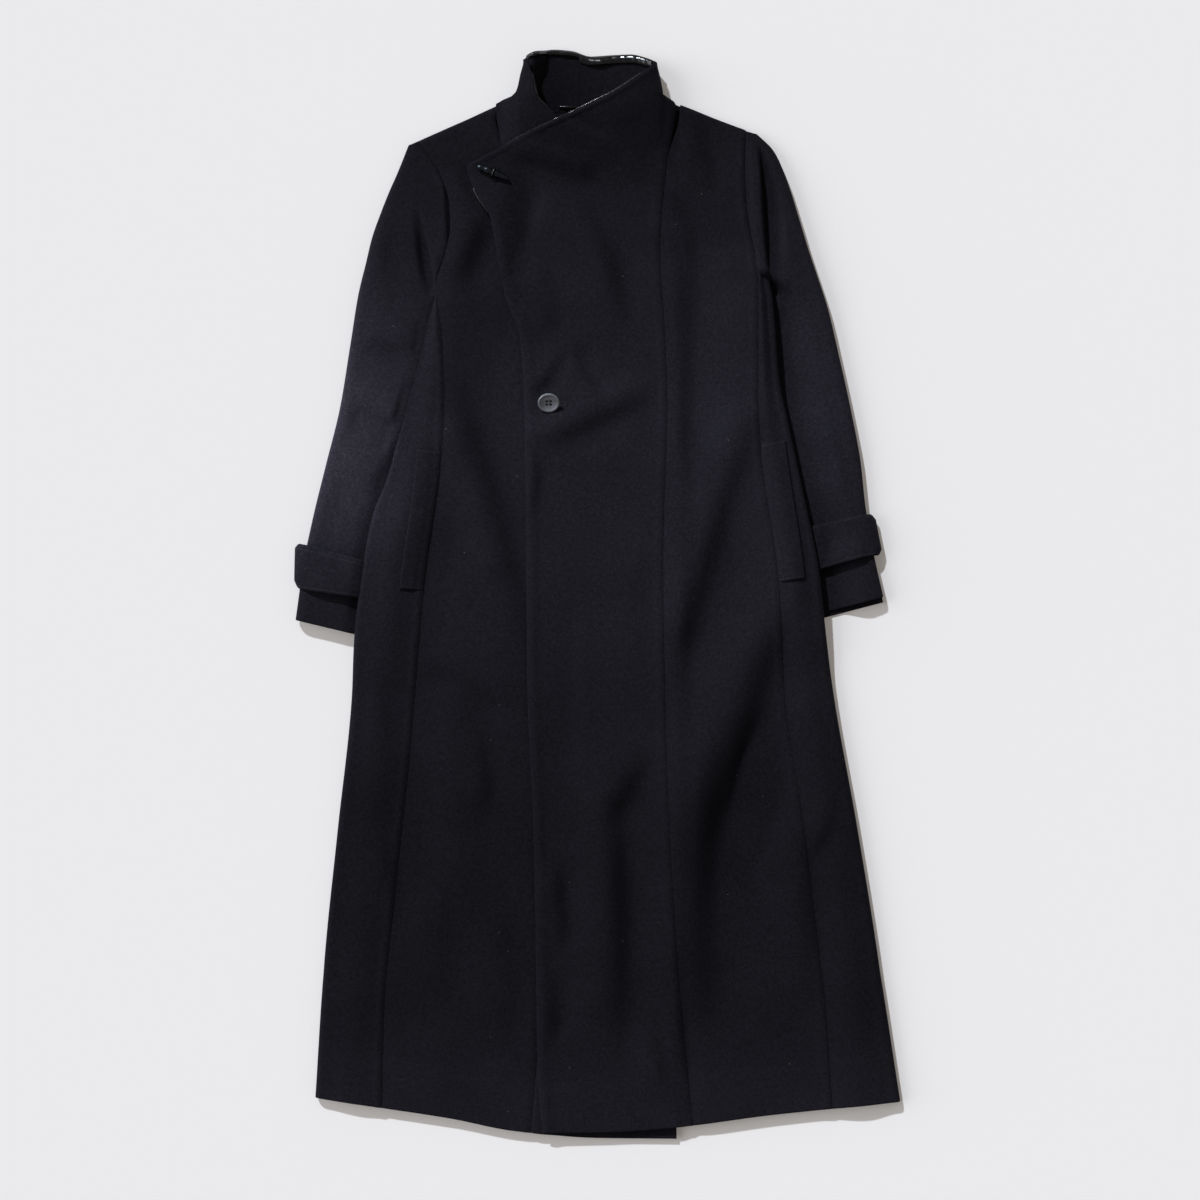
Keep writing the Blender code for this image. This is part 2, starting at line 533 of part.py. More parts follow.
class Sleeve:
    """One sleeve: a flattened tube, thin where it is tucked under the body."""

    def __init__(self, rows, armhole_height, longer_under):
        self.last = len(rows) - 1
        self.armhole_height = armhole_height
        self.longer_under = longer_under
        self.columns = {}
        for column in SleeveRow._fields:
            stops = [Stop(k, getattr(row, column)) for k, row in enumerate(rows)]
            self.columns[column] = through(stops, "across")

    def at(self, column, place):
        return self.columns[column](place)

    def frame(self, place):
        """A section's inner end, its direction across and its width."""
        inner = np.array((self.at("in_x", place), self.at("in_y", place)))
        outer = np.array((self.at("out_x", place), self.at("out_y", place)))
        across = (outer - inner) / np.linalg.norm(outer - inner)
        inner = inner + across * ARMHOLE_GAP
        return inner, across, np.linalg.norm(outer - inner)

    def radius(self, place):
        return self.at("height", place) / 2 - HALF

    def flat_end(self, place):
        """Where the section's flat part ends and its rolled edge begins."""
        return self.frame(place)[2] - HALF - self.radius(place)

    def point(self, place, out, z):
        inner, across, width = self.frame(place)
        x, y = inner + across * out
        return x, y, z

    def top(self, place, out):
        """Height of the upper sleeve's middle, out from the section's inner end."""
        tuck = self.at("tuck", place)
        inner = self.frame(place)[0]
        low = mix(self.armhole_height(*inner), TUCKED_MID, smooth(0.0, TUCK_FULL, tuck))
        end = min(tuck + SLEEVE_RISE, self.flat_end(place))
        return mix(low, self.at("height", place) - HALF, smooth(min(tuck, end - 1), end, out))

    def upper_row(self, place, flats, turns):
        end = self.flat_end(place)
        row = [self.point(place, end * share, self.top(place, end * share)) for share in shares(flats)[:-1]]
        return row + self.rolled(place, turns, 1)

    def under_row(self, place, flats, turns):
        end = self.flat_end(place)
        row = [self.point(place, end * share, HALF) for share in shares(flats)[:-1]]
        return row + self.rolled(place, turns, -1)

    def rolled(self, place, turns, way):
        """The rolled outer edge, from the flat part to the seam at half height."""
        radius = self.radius(place)
        middle = self.at("height", place) / 2
        last = math.asin(SLEEVE_SEAM_GAP / 2 / radius)
        row = []
        for share in shares(turns):
            angle = mix(math.pi / 2, last, share)
            out = self.flat_end(place) + radius * math.cos(angle)
            row.append(self.point(place, out, middle + way * radius * math.sin(angle)))
        return row

    def upper_grid(self, steps):
        return [self.upper_row(self.last * share, 7, 3) for share in shares(steps)]

    def under_grid(self, steps):
        grid = [self.under_row(self.last * share, 4, 3) for share in shares(steps)]
        grid[-1] = [(x, y - self.longer_under, z) for x, y, z in grid[-1]]
        return grid

    def strap_row(self, place):
        """Across the cuff: from under the body, over the sleeve and round its outer edge."""
        start = self.at("tuck", place) - STRAP_UNDER_BODY
        end = self.flat_end(place)
        off = HALF + STRAP_STAND + STRAP_THICK / 2
        row = []
        for share in shares(6)[:-1]:
            out = mix(start, end, share)
            row.append(self.point(place, out, self.top(place, out) + off))
        middle = self.at("height", place) / 2
        wide = self.radius(place) + off + STRAP_LOOP
        for share in shares(6):
            angle = mix(math.pi / 2, STRAP_END_ANGLE, share)
            tall = self.radius(place) + off if angle > 0 else middle - STRAP_LOW
            row.append(self.point(place, end + wide * math.cos(angle), middle + tall * math.sin(angle)))
        return row

    def strap_grid(self, places):
        return [self.strap_row(mix(*places, share)) for share in shares(3)]


LEFT_ARM = Sleeve(LEFT_SLEEVE, front_height, 0.0)
RIGHT_ARM = Sleeve(RIGHT_SLEEVE, over_height, RIGHT_CUFF_SHOW)


def make_sleeves():
    for name, arm, strap in (("left", LEFT_ARM, LEFT_STRAP_ROWS), ("right", RIGHT_ARM, RIGHT_STRAP_ROWS)):
        wall("sleeve_upper_" + name, arm.upper_grid(24))
        wall("sleeve_under_" + name, arm.under_grid(24))
        wall("cuff_strap_" + name, arm.strap_grid(strap), STRAP_THICK)


def welt(name, side, top, bottom, rise):
    """A pocket welt, laid on the side panel beside its seam."""
    grid = []
    for share in shares(8):
        level = mix(top, bottom, share)
        seam = side.seam(level)
        row = []
        for across in (WELT_INSET, WELT_INSET + WELT_WIDTH / 2, WELT_INSET + WELT_WIDTH):
            x, y = seam + side.sign * across, level + rise * across
            row.append((x, y, side.made_height(y, x)))
        grid.append(row)
    wall(name, moved_up(grid, HALF + 3 * SEAM + WELT_THICK / 2), WELT_THICK)


def make_welts():
    welt("welt_left", LEFT, *LEFT_WELT)
    welt("welt_right", RIGHT, *RIGHT_WELT)


def collar_half(sign, rows, columns, low=0.0, high=1.0, inner=None, outer=1.0):
    """Points on half of the back collar: rows from the neck to the top edge, columns out to the side."""
    side = through(COLLAR_SIDES, "left" if sign < 0 else "right", by="share")
    start = COLLAR_SEAM + sign * SEAM / 2 if inner is None else inner
    grid = []
    for up in shares(rows):
        share_up = mix(low, high, up)
        limit = mix(COLLAR_SEAM, side(share_up), outer)
        row = []
        for share in shares(columns):
            x = mix(start, limit, math.sin(share * math.pi / 2))
            y = mix(BACK_NECK + 2 * SEAM, collar_top(x), share_up)
            row.append((x, y, collar_back_height(x, y)))
        grid.append(row)
    return grid


def make_collar():
    wall("collar_back_left", collar_half(-1, 7, 8))
    wall("collar_back_right", collar_half(1, 7, 8))
    off = HALF + SEAM + BINDING_THICK / 2
    left = collar_half(-1, 2, 6, 1 - BINDING_SHARE, BINDING_TOP, outer=BINDING_REACH)
    right = collar_half(1, 2, 6, 1 - BINDING_SHARE, BINDING_TOP, outer=BINDING_REACH)
    wall("binding_back_left", moved_up(left, off), BINDING_THICK, "leather")
    wall("binding_back_right", moved_up(right, off), BINDING_THICK, "leather")


def piping(name, edge, height, top, bottom, outward):
    """Leather piping just outside a piece's edge, from the same sections and at the height of its cloth."""
    levels = [level for level in LEVELS if bottom < level < top]
    line = np.array([(edge(level) - outward * SEAM / 2, level) for level in levels])
    run = np.gradient(line, axis=0)
    aside = np.stack((-run[:, 1], run[:, 0]), axis=1) * outward
    aside /= np.linalg.norm(aside, axis=1, keepdims=True)
    path = []
    for place, out in zip(line, aside):
        x, y = place + out * (PIPING_RADIUS + PIPING_GAP)
        path.append((x, y, height(*place)))
    tube(name, path, [PIPING_RADIUS] * len(path), "leather")


def make_piping():
    piping("binding_over_collar", over_edge, over_height, *OVER_PIPING, -1)
    piping("binding_front_edge", over_edge, over_height, *EDGE_PIPING, -1)
    piping("binding_under_collar", under_edge, front_height, *UNDER_PIPING, 1)


def make_hanger():
    """A narrow leather strip, bowed a little off the inside of the neck."""
    grid = []
    for share in shares(8):
        x = mix(*HANGER_ACROSS, share)
        bow = HANGER_BOW * math.sin(math.pi * share)
        row = []
        for edge in (-HANGER_WIDTH / 2, HANGER_WIDTH / 2):
            y = HANGER_LEVEL + edge
            z = collar_back_height(x, y) + HALF + SEAM + BINDING_THICK / 2 + bow
            row.append((x, y, z))
        grid.append(row)
    wall("hanger_loop", grid, BINDING_THICK, "leather")


def turned(name, profile, sides, look):
    """A solid turned about the upright axis, from the foot of its profile to its top."""
    points, faces = [], []
    for radius, height in profile:
        for k in range(sides):
            turn = 2 * math.pi * k / sides
            points.append((radius * math.cos(turn), radius * math.sin(turn), height))
    for row in range(len(profile) - 1):
        for k in range(sides):
            here, there = row * sides + k, row * sides + (k + 1) % sides
            faces.append([here, there, there + sides, here + sides])
    faces.append(list(range(sides - 1, -1, -1)))
    faces.append([(len(profile) - 1) * sides + k for k in range(sides)])
    return add_object(name, points, faces, look)


def make_button():
    x, y = BUTTON_CENTRE
    seats = []
    for k in range(12):
        aside = BUTTON_FOOT * math.cos(k * math.pi / 6)
        ahead = BUTTON_FOOT * math.sin(k * math.pi / 6)
        seats.append(over_height(x + aside, y + ahead) - ahead * math.sin(BUTTON_TILT))
    z = max(seats) + HALF + 1.5 * SEAM
    button = turned("button", BUTTON_PROFILE, 24, "horn")
    button.location = (x * MM, y * MM, z * MM)
    button.rotation_euler = (BUTTON_TILT, 0.0, 0.0)
    for k in range(4):
        turn = math.pi / 4 + k * math.pi / 2
        cutter = turned("hole_%d" % k, ((HOLE_RADIUS, -2.0), (HOLE_RADIUS, 8.0)), 8, "horn")
        cutter.parent = button
        cutter.location = (HOLE_PLACE * math.cos(turn) * MM, HOLE_PLACE * math.sin(turn) * MM, 0.0)
        cutter.hide_render = True
        cutter.display_type = "WIRE"
        cut = button.modifiers.new("hole_%d" % k, "BOOLEAN")
        cut.operation = "DIFFERENCE"
        cut.object = cutter


def make_toggle():
    """A tapered toggle on the lapel, and the cord loop over its waist."""
    start, end = np.array(TOGGLE_START), np.array(TOGGLE_END)
    middle = (start + end) / 2
    along = (end - start) / np.linalg.norm(end - start)
    z = max(over_height(*mix(start, end, share)) for share in shares(8)) + HALF + SEAM + TOGGLE_RADIUS
    path, radii = [], []
    for share in shares(10):
        away = abs(2 * share - 1)
        path.append((*mix(start, end, share), z))
        waist = TOGGLE_WAIST * (1 - smooth(0.0, 0.2, away))
        radii.append(TOGGLE_RADIUS * (1 - TOGGLE_TAPER * away ** 2.5) - waist)
    tube("toggle", path, radii, "horn", 12)
    reach = TOGGLE_RADIUS + SEAM + LOOP_RADIUS
    aside = np.array((-along[1], along[0]))
    loop = []
    for share in shares(10):
        angle = mix(*LOOP_ANGLES, share)
        loop.append((*(middle + aside * reach * math.cos(angle)), z + reach * math.sin(angle)))
    loop_tube("toggle_loop", loop, along)


def loop_tube(name, path, along):
    """A thin cord that bends in the plane square to the toggle."""
    path = np.array(path)
    heading = np.gradient(path, axis=0)
    heading /= np.linalg.norm(heading, axis=1, keepdims=True)
    side = np.array((along[0], along[1], 0.0))
    points, faces = [], []
    for place, forward in zip(path, heading):
        out = np.cross(forward, side)
        for k in range(6):
            turn = 2 * math.pi * k / 6
            points.append(place + LOOP_RADIUS * (math.cos(turn) * side + math.sin(turn) * out))
    for row in range(len(path) - 1):
        for k in range(6):
            here, there = row * 6 + k, row * 6 + (k + 1) % 6
            faces.append([here, there, there + 6, here + 6])
    faces.append(list(range(5, -1, -1)))
    faces.append([(len(path) - 1) * 6 + k for k in range(6)])
    add_object(name, points, faces, "leather")


LOOKS = {}


def main():
    for old in list(bpy.data.objects):
        bpy.data.objects.remove(old)
    LOOKS["wool"] = material("wool", (0.014, 0.013, 0.018), 0.9)
    LOOKS["leather"] = material("leather", (0.008, 0.008, 0.009), 0.25)
    LOOKS["horn"] = material("horn", (0.01, 0.01, 0.012), 0.2)
    make_backs()
    make_sides()
    make_fronts()
    make_sleeves()
    make_welts()
    make_collar()
    make_piping()
    make_hanger()
    make_button()
    make_toggle()
    for made in bpy.context.scene.objects:
        if made.parent is None:
            made.location.x -= CENTRE[0] * MM
            made.location.y -= CENTRE[1] * MM


main()
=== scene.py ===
# %% [markdown]
# # A long wool wrap coat, laid flat
# The coat lies on its back, and the camera looks straight down on it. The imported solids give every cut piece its
# place. This lesson puts a finer shell of cloth over each of them, from nearly the same lines of the cut, and adds
# what a solid is too plain for: soft creases, rounded edges, pressed seams, leather, polish and sewing.

# %% Load the solids
import math
from collections import namedtuple

import bpy
import numpy as np
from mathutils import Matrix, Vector


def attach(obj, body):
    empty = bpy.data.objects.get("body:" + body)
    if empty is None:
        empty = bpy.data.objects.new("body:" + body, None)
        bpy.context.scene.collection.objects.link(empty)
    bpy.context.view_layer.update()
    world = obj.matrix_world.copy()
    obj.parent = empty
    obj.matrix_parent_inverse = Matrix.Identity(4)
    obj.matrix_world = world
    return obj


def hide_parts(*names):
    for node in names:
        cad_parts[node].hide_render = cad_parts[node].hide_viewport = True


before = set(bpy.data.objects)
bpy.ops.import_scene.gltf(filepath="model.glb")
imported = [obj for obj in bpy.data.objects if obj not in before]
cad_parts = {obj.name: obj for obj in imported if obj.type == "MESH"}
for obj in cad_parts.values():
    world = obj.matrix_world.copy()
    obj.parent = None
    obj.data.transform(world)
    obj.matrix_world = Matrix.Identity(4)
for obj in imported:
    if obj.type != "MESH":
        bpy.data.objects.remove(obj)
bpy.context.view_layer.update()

MM = 0.001
# Middle of the coat's outline in the tables, which is the origin of the solids
CENTRE = np.array((-0.73, 1.685, 0.0))
print("solids loaded:", len(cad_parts))

# %% [markdown]
# The camera hangs far above the coat, so the sheet is seen almost without perspective. A hard key light comes from
# the upper left and throws the crisp shadows. A broad, soft light rakes over the cloth from the left, which models
# the folds that the key runs along. A warm, even sky fills the shadows. The view transform is Standard, so that
# black cloth stays black and the floor keeps its pale grey.

# %% Camera, floor and light
CAMERA_HEIGHT, PICTURE_WIDTH = 4.5, 1.44
PICTURE_MIDDLE = np.array((3.6, -5.4, 0.0))
Lamp = namedtuple("Lamp", "name from_x from_y elevation strength colour angle")
LAMPS = (Lamp("key", -0.472, 0.881, 38.0, 2.7, (0.87, 0.93, 1.0), 2.5),
         Lamp("side", -0.99, 0.1, 26.0, 1.5, (0.93, 0.96, 1.0), 50.0))
SKY_STRENGTH, SKY_COLOUR = 0.2, (1.0, 0.95, 0.9)
FLOOR_COLOUR, FLOOR_HALF, FLOOR_LEVEL = (0.823, 0.807, 0.81), 30.0, -0.0004
FLOOR_GLOW, FLOOR_GLOW_COLOUR, FLOOR_ROUGHNESS = 0.12, (1.0, 0.9, 0.8), 0.9


def make_stage():
    """The camera, two suns, the sky and the floor."""
    scene = bpy.context.scene
    scene.view_settings.view_transform = "Standard"
    lens = bpy.data.cameras.new("camera")
    lens.angle = 2 * math.atan(PICTURE_WIDTH / 2 / CAMERA_HEIGHT)
    camera = bpy.data.objects.new("camera", lens)
    camera.location = (*((PICTURE_MIDDLE - CENTRE) * MM)[:2], CAMERA_HEIGHT)
    scene.collection.objects.link(camera)
    scene.camera = camera
    for lamp in LAMPS:
        sun = bpy.data.lights.new(lamp.name, "SUN")
        sun.energy, sun.color, sun.angle = lamp.strength, lamp.colour, math.radians(lamp.angle)
        made = bpy.data.objects.new(lamp.name, sun)
        towards = Vector((-lamp.from_x, -lamp.from_y, -math.tan(math.radians(lamp.elevation))))
        made.rotation_mode = "QUATERNION"
        made.rotation_quaternion = towards.to_track_quat("-Z", "Y")
        scene.collection.objects.link(made)
    world = bpy.data.worlds.new("sky")
    world.use_nodes = True
    sky = world.node_tree.nodes["Background"]
    sky.inputs["Color"].default_value = (*SKY_COLOUR, 1.0)
    sky.inputs["Strength"].default_value = SKY_STRENGTH
    scene.world = world
    corners = [(x * FLOOR_HALF, y * FLOOR_HALF, FLOOR_LEVEL) for x, y in ((-1, -1), (1, -1), (1, 1), (-1, 1))]
    mesh = bpy.data.meshes.new("floor")
    mesh.from_pydata(corners, [], [(0, 1, 2, 3)])
    paper = bpy.data.materials.new("floor_paper")
    paper.use_nodes = True
    shader = paper.node_tree.nodes["Principled BSDF"]
    shader.inputs["Base Color"].default_value = (*FLOOR_COLOUR, 1.0)
    shader.inputs["Roughness"].default_value = FLOOR_ROUGHNESS
    shader.inputs["Specular IOR Level"].default_value = 0.0
    shader.inputs["Emission Color"].default_value = (*FLOOR_GLOW_COLOUR, 1.0)
    shader.inputs["Emission Strength"].default_value = FLOOR_GLOW
    mesh.materials.append(paper)
    floor = bpy.data.objects.new("floor", mesh)
    scene.collection.objects.link(floor)


make_stage()
print("camera height:", CAMERA_HEIGHT, "m, picture width:", PICTURE_WIDTH, "m")

# %% [markdown]
# The wool is nearly black with a breath of violet, and its short nap scatters light, so it is very rough, with a
# little sheen and a fine uneven bump. Light and shade are also painted into its colour by place: painted light over
# the waist and the arms, most on the left arm, and painted shade at the shoulders and in the skirt. The leather is
# glossy and grained. The button is grey-black horn, its colour lightened to a mid grey that paints in the reflection
# of a bright ceiling on its polish, and the toggle is black. All patterns read Object coordinates, so they stay put
# on the cloth.

# %% Finishes
def finish(name, roughness):
    """A new material, with its nodes, its shader and the Object coordinates."""
    made = bpy.data.materials.new(name)
    made.use_nodes = True
    tree = made.node_tree
    shader = tree.nodes["Principled BSDF"]
    shader.inputs["Roughness"].default_value = roughness
    place = tree.nodes.new("ShaderNodeTexCoord")
    return made, tree, shader, place.outputs["Object"]


def noise(tree, place, scale, detail, roughness=0.5):
    made = tree.nodes.new("ShaderNodeTexNoise")
    made.inputs["Scale"].default_value = scale
    made.inputs["Detail"].default_value = detail
    made.inputs["Roughness"].default_value = roughness
    tree.links.new(place, made.inputs["Vector"])
    return made.outputs["Fac"]


def ramp(tree, value, stops):
    made = tree.nodes.new("ShaderNodeValToRGB")
    marks = made.color_ramp.elements
    for position, colour in stops[1:-1]:
        marks.new(position).color = (*colour, 1.0)
    marks[0].position, marks[0].color = stops[0][0], (*stops[0][1], 1.0)
    marks[-1].position, marks[-1].color = stops[-1][0], (*stops[-1][1], 1.0)
    tree.links.new(value, made.inputs["Fac"])
    return made.outputs["Color"]


def sums(tree, operation, first, second):
    made = tree.nodes.new("ShaderNodeMath")
    made.operation = operation
    for socket, value in zip(made.inputs, (first, second)):
        if isinstance(value, float):
            socket.default_value = value
        else:
            tree.links.new(value, socket)
    return made.outputs[0]


def blend(tree, share, first, second, kind="MIX"):
    made = tree.nodes.new("ShaderNodeMix")
    made.data_type, made.blend_type = "RGBA", kind
    for socket, value in ((made.inputs[0], share), (made.inputs[6], first), (made.inputs[7], second)):
        if isinstance(value, float):
            socket.default_value = value
        elif isinstance(value, tuple):
            socket.default_value = (*value, 1.0)
        else:
            tree.links.new(value, socket)
    return made.outputs[2]


def fade_in(tree, value, start, end):
    """0 before a place and 1 after it, with a soft passage between."""
    made = tree.nodes.new("ShaderNodeMapRange")
    made.interpolation_type = "SMOOTHSTEP"
    rising = start < end
    for socket, number in (("From Min", min(start, end)), ("From Max", max(start, end)),
                           ("To Min", 0.0 if rising else 1.0), ("To Max", 1.0 if rising else 0.0)):
        made.inputs[socket].default_value = number
    tree.links.new(value, made.inputs["Value"])
    return made.outputs["Result"]


def bump(tree, shader, height, strength, distance):
    made = tree.nodes.new("ShaderNodeBump")
    made.inputs["Strength"].default_value = strength
    made.inputs["Distance"].default_value = distance
    tree.links.new(height, made.inputs["Height"])
    tree.links.new(made.outputs["Normal"], shader.inputs["Normal"])


WOOL_DARK, WOOL_LIGHT = (0.0042, 0.0039, 0.0056), (0.0166, 0.0155, 0.0206)
# Specks of lint: how many to a metre, how large a share of their cell they fill, and from which draw on one shows
LINT_SCALE, LINT_SIZE, LINT_CHOSEN, LINT_COLOUR = 95.0, 0.045, 0.93, (0.16, 0.15, 0.14)
SHEEN_TINT, HORN_TINT = (0.75, 0.72, 1.0, 1.0), (0.72, 0.84, 1.0, 1.0)
# Painted light and shade on the wool's colour, level by level from the hem to the collar, in metres: above 1
# lightens, below 1 darkens
PAINTED_LIGHT_RANGE = (-0.66, 0.66)
PAINTED_LIGHT_LEVELS = ((-0.62, 1.14), (-0.5, 0.78), (-0.25, 0.76), (-0.02, 1.18), (0.22, 1.42), (0.42, 1.05), (0.54, 0.82))
# Patches of painted light on the arms, most on the left: where they begin across, above and below, and how much
# lighter they are
PaintedLightPatch = namedtuple("PaintedLightPatch", "across top foot gain")
PAINTED_LIGHT_PATCHES = (PaintedLightPatch((-0.2, -0.32), (0.6, 0.18), (0.0, 0.13), 1.6),
           PaintedLightPatch((0.19, 0.25), (0.58, 0.45), (0.0, 0.25), 0.3))


def painted_light_tone(tree, place):
    """Painted light over the waist and the arms, and painted shade at the shoulders and in the skirt, as a tone by
    place.
    """
    parts = tree.nodes.new("ShaderNodeSeparateXYZ")
    tree.links.new(place, parts.inputs[0])
    along = tree.nodes.new("ShaderNodeMapRange")
    along.inputs["From Min"].default_value, along.inputs["From Max"].default_value = PAINTED_LIGHT_RANGE
    tree.links.new(parts.outputs["Y"], along.inputs["Value"])
    span = PAINTED_LIGHT_RANGE[1] - PAINTED_LIGHT_RANGE[0]
    # A ramp ends at white, so it holds each tone halved
    stops = [((level - PAINTED_LIGHT_RANGE[0]) / span, (tone / 2, tone / 2, tone / 2)) for level, tone in PAINTED_LIGHT_LEVELS]
    tone = sums(tree, "MULTIPLY", ramp(tree, along.outputs["Result"], stops), 2.0)
    for lit_patch in PAINTED_LIGHT_PATCHES:
        share = fade_in(tree, parts.outputs["X"], *lit_patch.across)
        for ends in (lit_patch.top, lit_patch.foot):
            share = sums(tree, "MULTIPLY", share, fade_in(tree, parts.outputs["Y"], *ends))
        tone = sums(tree, "MULTIPLY", tone, sums(tree, "ADD", sums(tree, "MULTIPLY", share, lit_patch.gain), 1.0))
    return tone


def wool_cloth():
    """Brushed wool: a fine fuzz of light and dark fibres, slow blotches, painted light and shade by place, and a few
    pale specks of lint.
    """
    made, tree, shader, place = finish("wool_cloth", 0.92)
    fuzz = noise(tree, place, scale=850.0, detail=3.0, roughness=0.65)
    tufts = noise(tree, place, scale=240.0, detail=2.0)
    blotch = noise(tree, place, scale=14.0, detail=2.0)
    fibres = ramp(tree, fuzz, ((0.3, WOOL_DARK), (0.72, WOOL_LIGHT)))
    shade = ramp(tree, blotch, ((0.3, (0.84, 0.84, 0.86)), (0.7, (1.02, 1.02, 1.02))))
    clump = ramp(tree, tufts, ((0.3, (0.78, 0.78, 0.78)), (0.7, (1.16, 1.15, 1.18))))
    colour = blend(tree, 1.0, blend(tree, 1.0, fibres, shade, "MULTIPLY"), clump, "MULTIPLY")
    # Painted light and shade: the colour is lightened and darkened by place on the coat
    colour = blend(tree, 1.0, colour, painted_light_tone(tree, place), "MULTIPLY")
    cells = tree.nodes.new("ShaderNodeTexVoronoi")
    cells.inputs["Scale"].default_value = LINT_SCALE
    tree.links.new(place, cells.inputs["Vector"])
    chosen = tree.nodes.new("ShaderNodeSeparateColor")
    tree.links.new(cells.outputs["Color"], chosen.inputs[0])
    speck = sums(tree, "LESS_THAN", cells.outputs["Distance"], LINT_SIZE)
    speck = sums(tree, "MULTIPLY", speck, sums(tree, "GREATER_THAN", chosen.outputs[0], LINT_CHOSEN))
    colour = blend(tree, speck, colour, LINT_COLOUR)
    tree.links.new(colour, shader.inputs["Base Color"])
    shader.inputs["Specular IOR Level"].default_value = 0.06
    shader.inputs["Sheen Weight"].default_value = 0.02
    shader.inputs["Sheen Roughness"].default_value = 0.55
    shader.inputs["Sheen Tint"].default_value = SHEEN_TINT
    nap = sums(tree, "ADD", fuzz, sums(tree, "MULTIPLY", tufts, 0.8))
    bump(tree, shader, nap, strength=0.55, distance=0.0006)
    return made


def glossy_leather():
    """Glossy black leather with a fine pebbled grain and shallow wrinkles."""
    made, tree, shader, place = finish("glossy_leather", 0.2)
    grain = tree.nodes.new("ShaderNodeTexVoronoi")
    grain.inputs["Scale"].default_value = 1100.0
    tree.links.new(place, grain.inputs["Vector"])
    wrinkle = noise(tree, place, scale=190.0, detail=3.0)
    colour = ramp(tree, wrinkle, ((0.3, (0.0025, 0.0025, 0.003)), (0.7, (0.006, 0.0058, 0.0065))))
    tree.links.new(colour, shader.inputs["Base Color"])
    gloss = ramp(tree, wrinkle, ((0.3, (0.15, 0.15, 0.15)), (0.75, (0.26, 0.26, 0.26))))
    tree.links.new(gloss, shader.inputs["Roughness"])
    height = sums(tree, "ADD", sums(tree, "MULTIPLY", grain.outputs["Distance"], 0.25), wrinkle)
    bump(tree, shader, height, strength=0.2, distance=0.0006)
    return made


def polished(name, dark, light, roughness, coat, shine):
    """Polished horn, with faint streaks, and with a clear coat where one is given."""
    made, tree, shader, place = finish(name, roughness)
    streak = noise(tree, place, scale=130.0, detail=4.0)
    colour = ramp(tree, streak, ((0.35, dark), (0.7, light)))
    tree.links.new(colour, shader.inputs["Base Color"])
    shader.inputs["Specular IOR Level"].default_value = shine
    shader.inputs["Specular Tint"].default_value = HORN_TINT
    shader.inputs["Coat Weight"].default_value = coat
    shader.inputs["Coat Roughness"].default_value = 0.05
    return made


def sewing_thread():
    """Black twisted thread, a little brighter than the nap around it."""
    made, tree, shader, place = finish("sewing_thread", 0.6)
    twist = noise(tree, place, scale=2200.0, detail=2.0)
    colour = ramp(tree, twist, ((0.3, (0.008, 0.008, 0.01)), (0.7, (0.026, 0.025, 0.031))))
    tree.links.new(colour, shader.inputs["Base Color"])
    shader.inputs["Sheen Weight"].default_value = 0.08
    return made


LOOKS = {"wool": wool_cloth(), "leather": glossy_leather(),
         # Painted reflection: the button's base colour is lighter than its own grey-black and stands in for a bright
         # ceiling mirrored in its polish
         "horn": polished("grey_horn_painted_reflection", (0.14, 0.143, 0.163), (0.21, 0.215, 0.243),
                          roughness=0.16, coat=1.0, shine=0.5),
         "black horn": polished("black_horn", (0.0012, 0.0014, 0.0024), (0.0024, 0.0028, 0.0048),
                                roughness=0.2, coat=0.0, shine=0.6),
         "thread": sewing_thread()}
print("finishes:", ", ".join(look.name for look in LOOKS.values()))

# %% [markdown]
# The cut comes next. Each line of the cut is a short table: how far it lies across the coat, level by level from the
# collar to the hem, in millimetres. A smooth curve without overshoot runs through each table. These are the lines
# that the solids were made from, with some of their places refined, so every finer shell lands on its solid.

# %% Lines of the cut
# Cloth and seams
WOOL = 2.4
SEAM = 0.3
SLEEVE_SEAM_GAP = 1.2
HALF = WOOL / 2

# Heights of the layers, to the middle of the cloth
BACK_MID = HALF
FRONT_REST = 5.0
LAP, NECK_LAP = 3.6, 2.4
LAP_SLOPE = (-4.0, 18.0)
FOLD_FADE = (-6.0, 24.0)
TUCKED_MID = WOOL + 0.5 + HALF
# The fronts go no lower than this, and round off towards it
LEAST_MID, LEAST_ROUND = BACK_MID + WOOL + SEAM, 1.6
SIDE_SPREAD = (10.0, 105.0)
SIDE_WIDTH_BEHIND = 80.0
BACK_CENTRE = -8.0
BACK_SHORTER, BACK_STEP, BACK_CURVE = 4.0, 2.5, 16.0
ARMPIT, LEFT_ARMPIT, RIGHT_ARMPIT = 400.0, 346.0, 388.5
# Each shoulder: its level at the neck, and how far it drops to the arm
OVER_SHOULDER, UNDER_SHOULDER = (587.5, 31.0), (586.5, 44.5)
# Beside the collar each seam opens into a wedge, from this level up to this one and this wide
WEDGE_START, WEDGE_FULL, OVER_WEDGE, UNDER_WEDGE = 518.0, 570.0, 6.0, 2.0
LEFT_NECK_POINT, LEFT_ARM_POINT = (-118.0, 585.0), (-216.0, 541.0)
RIGHT_NECK_POINT, RIGHT_ARM_POINT = (93.0, 586.0), (177.0, 554.0)
# The roll at a side's fold: the most it takes of the panel's width, and where the flat part runs into it
ROLL_SHARE, ROLL_BLEND = 0.55, (0.3, 1.0)
# How the lower leg of a side comes down inside the tucked sleeve's edge
SLEEVE_CLEAR = (8.0, 26.0)

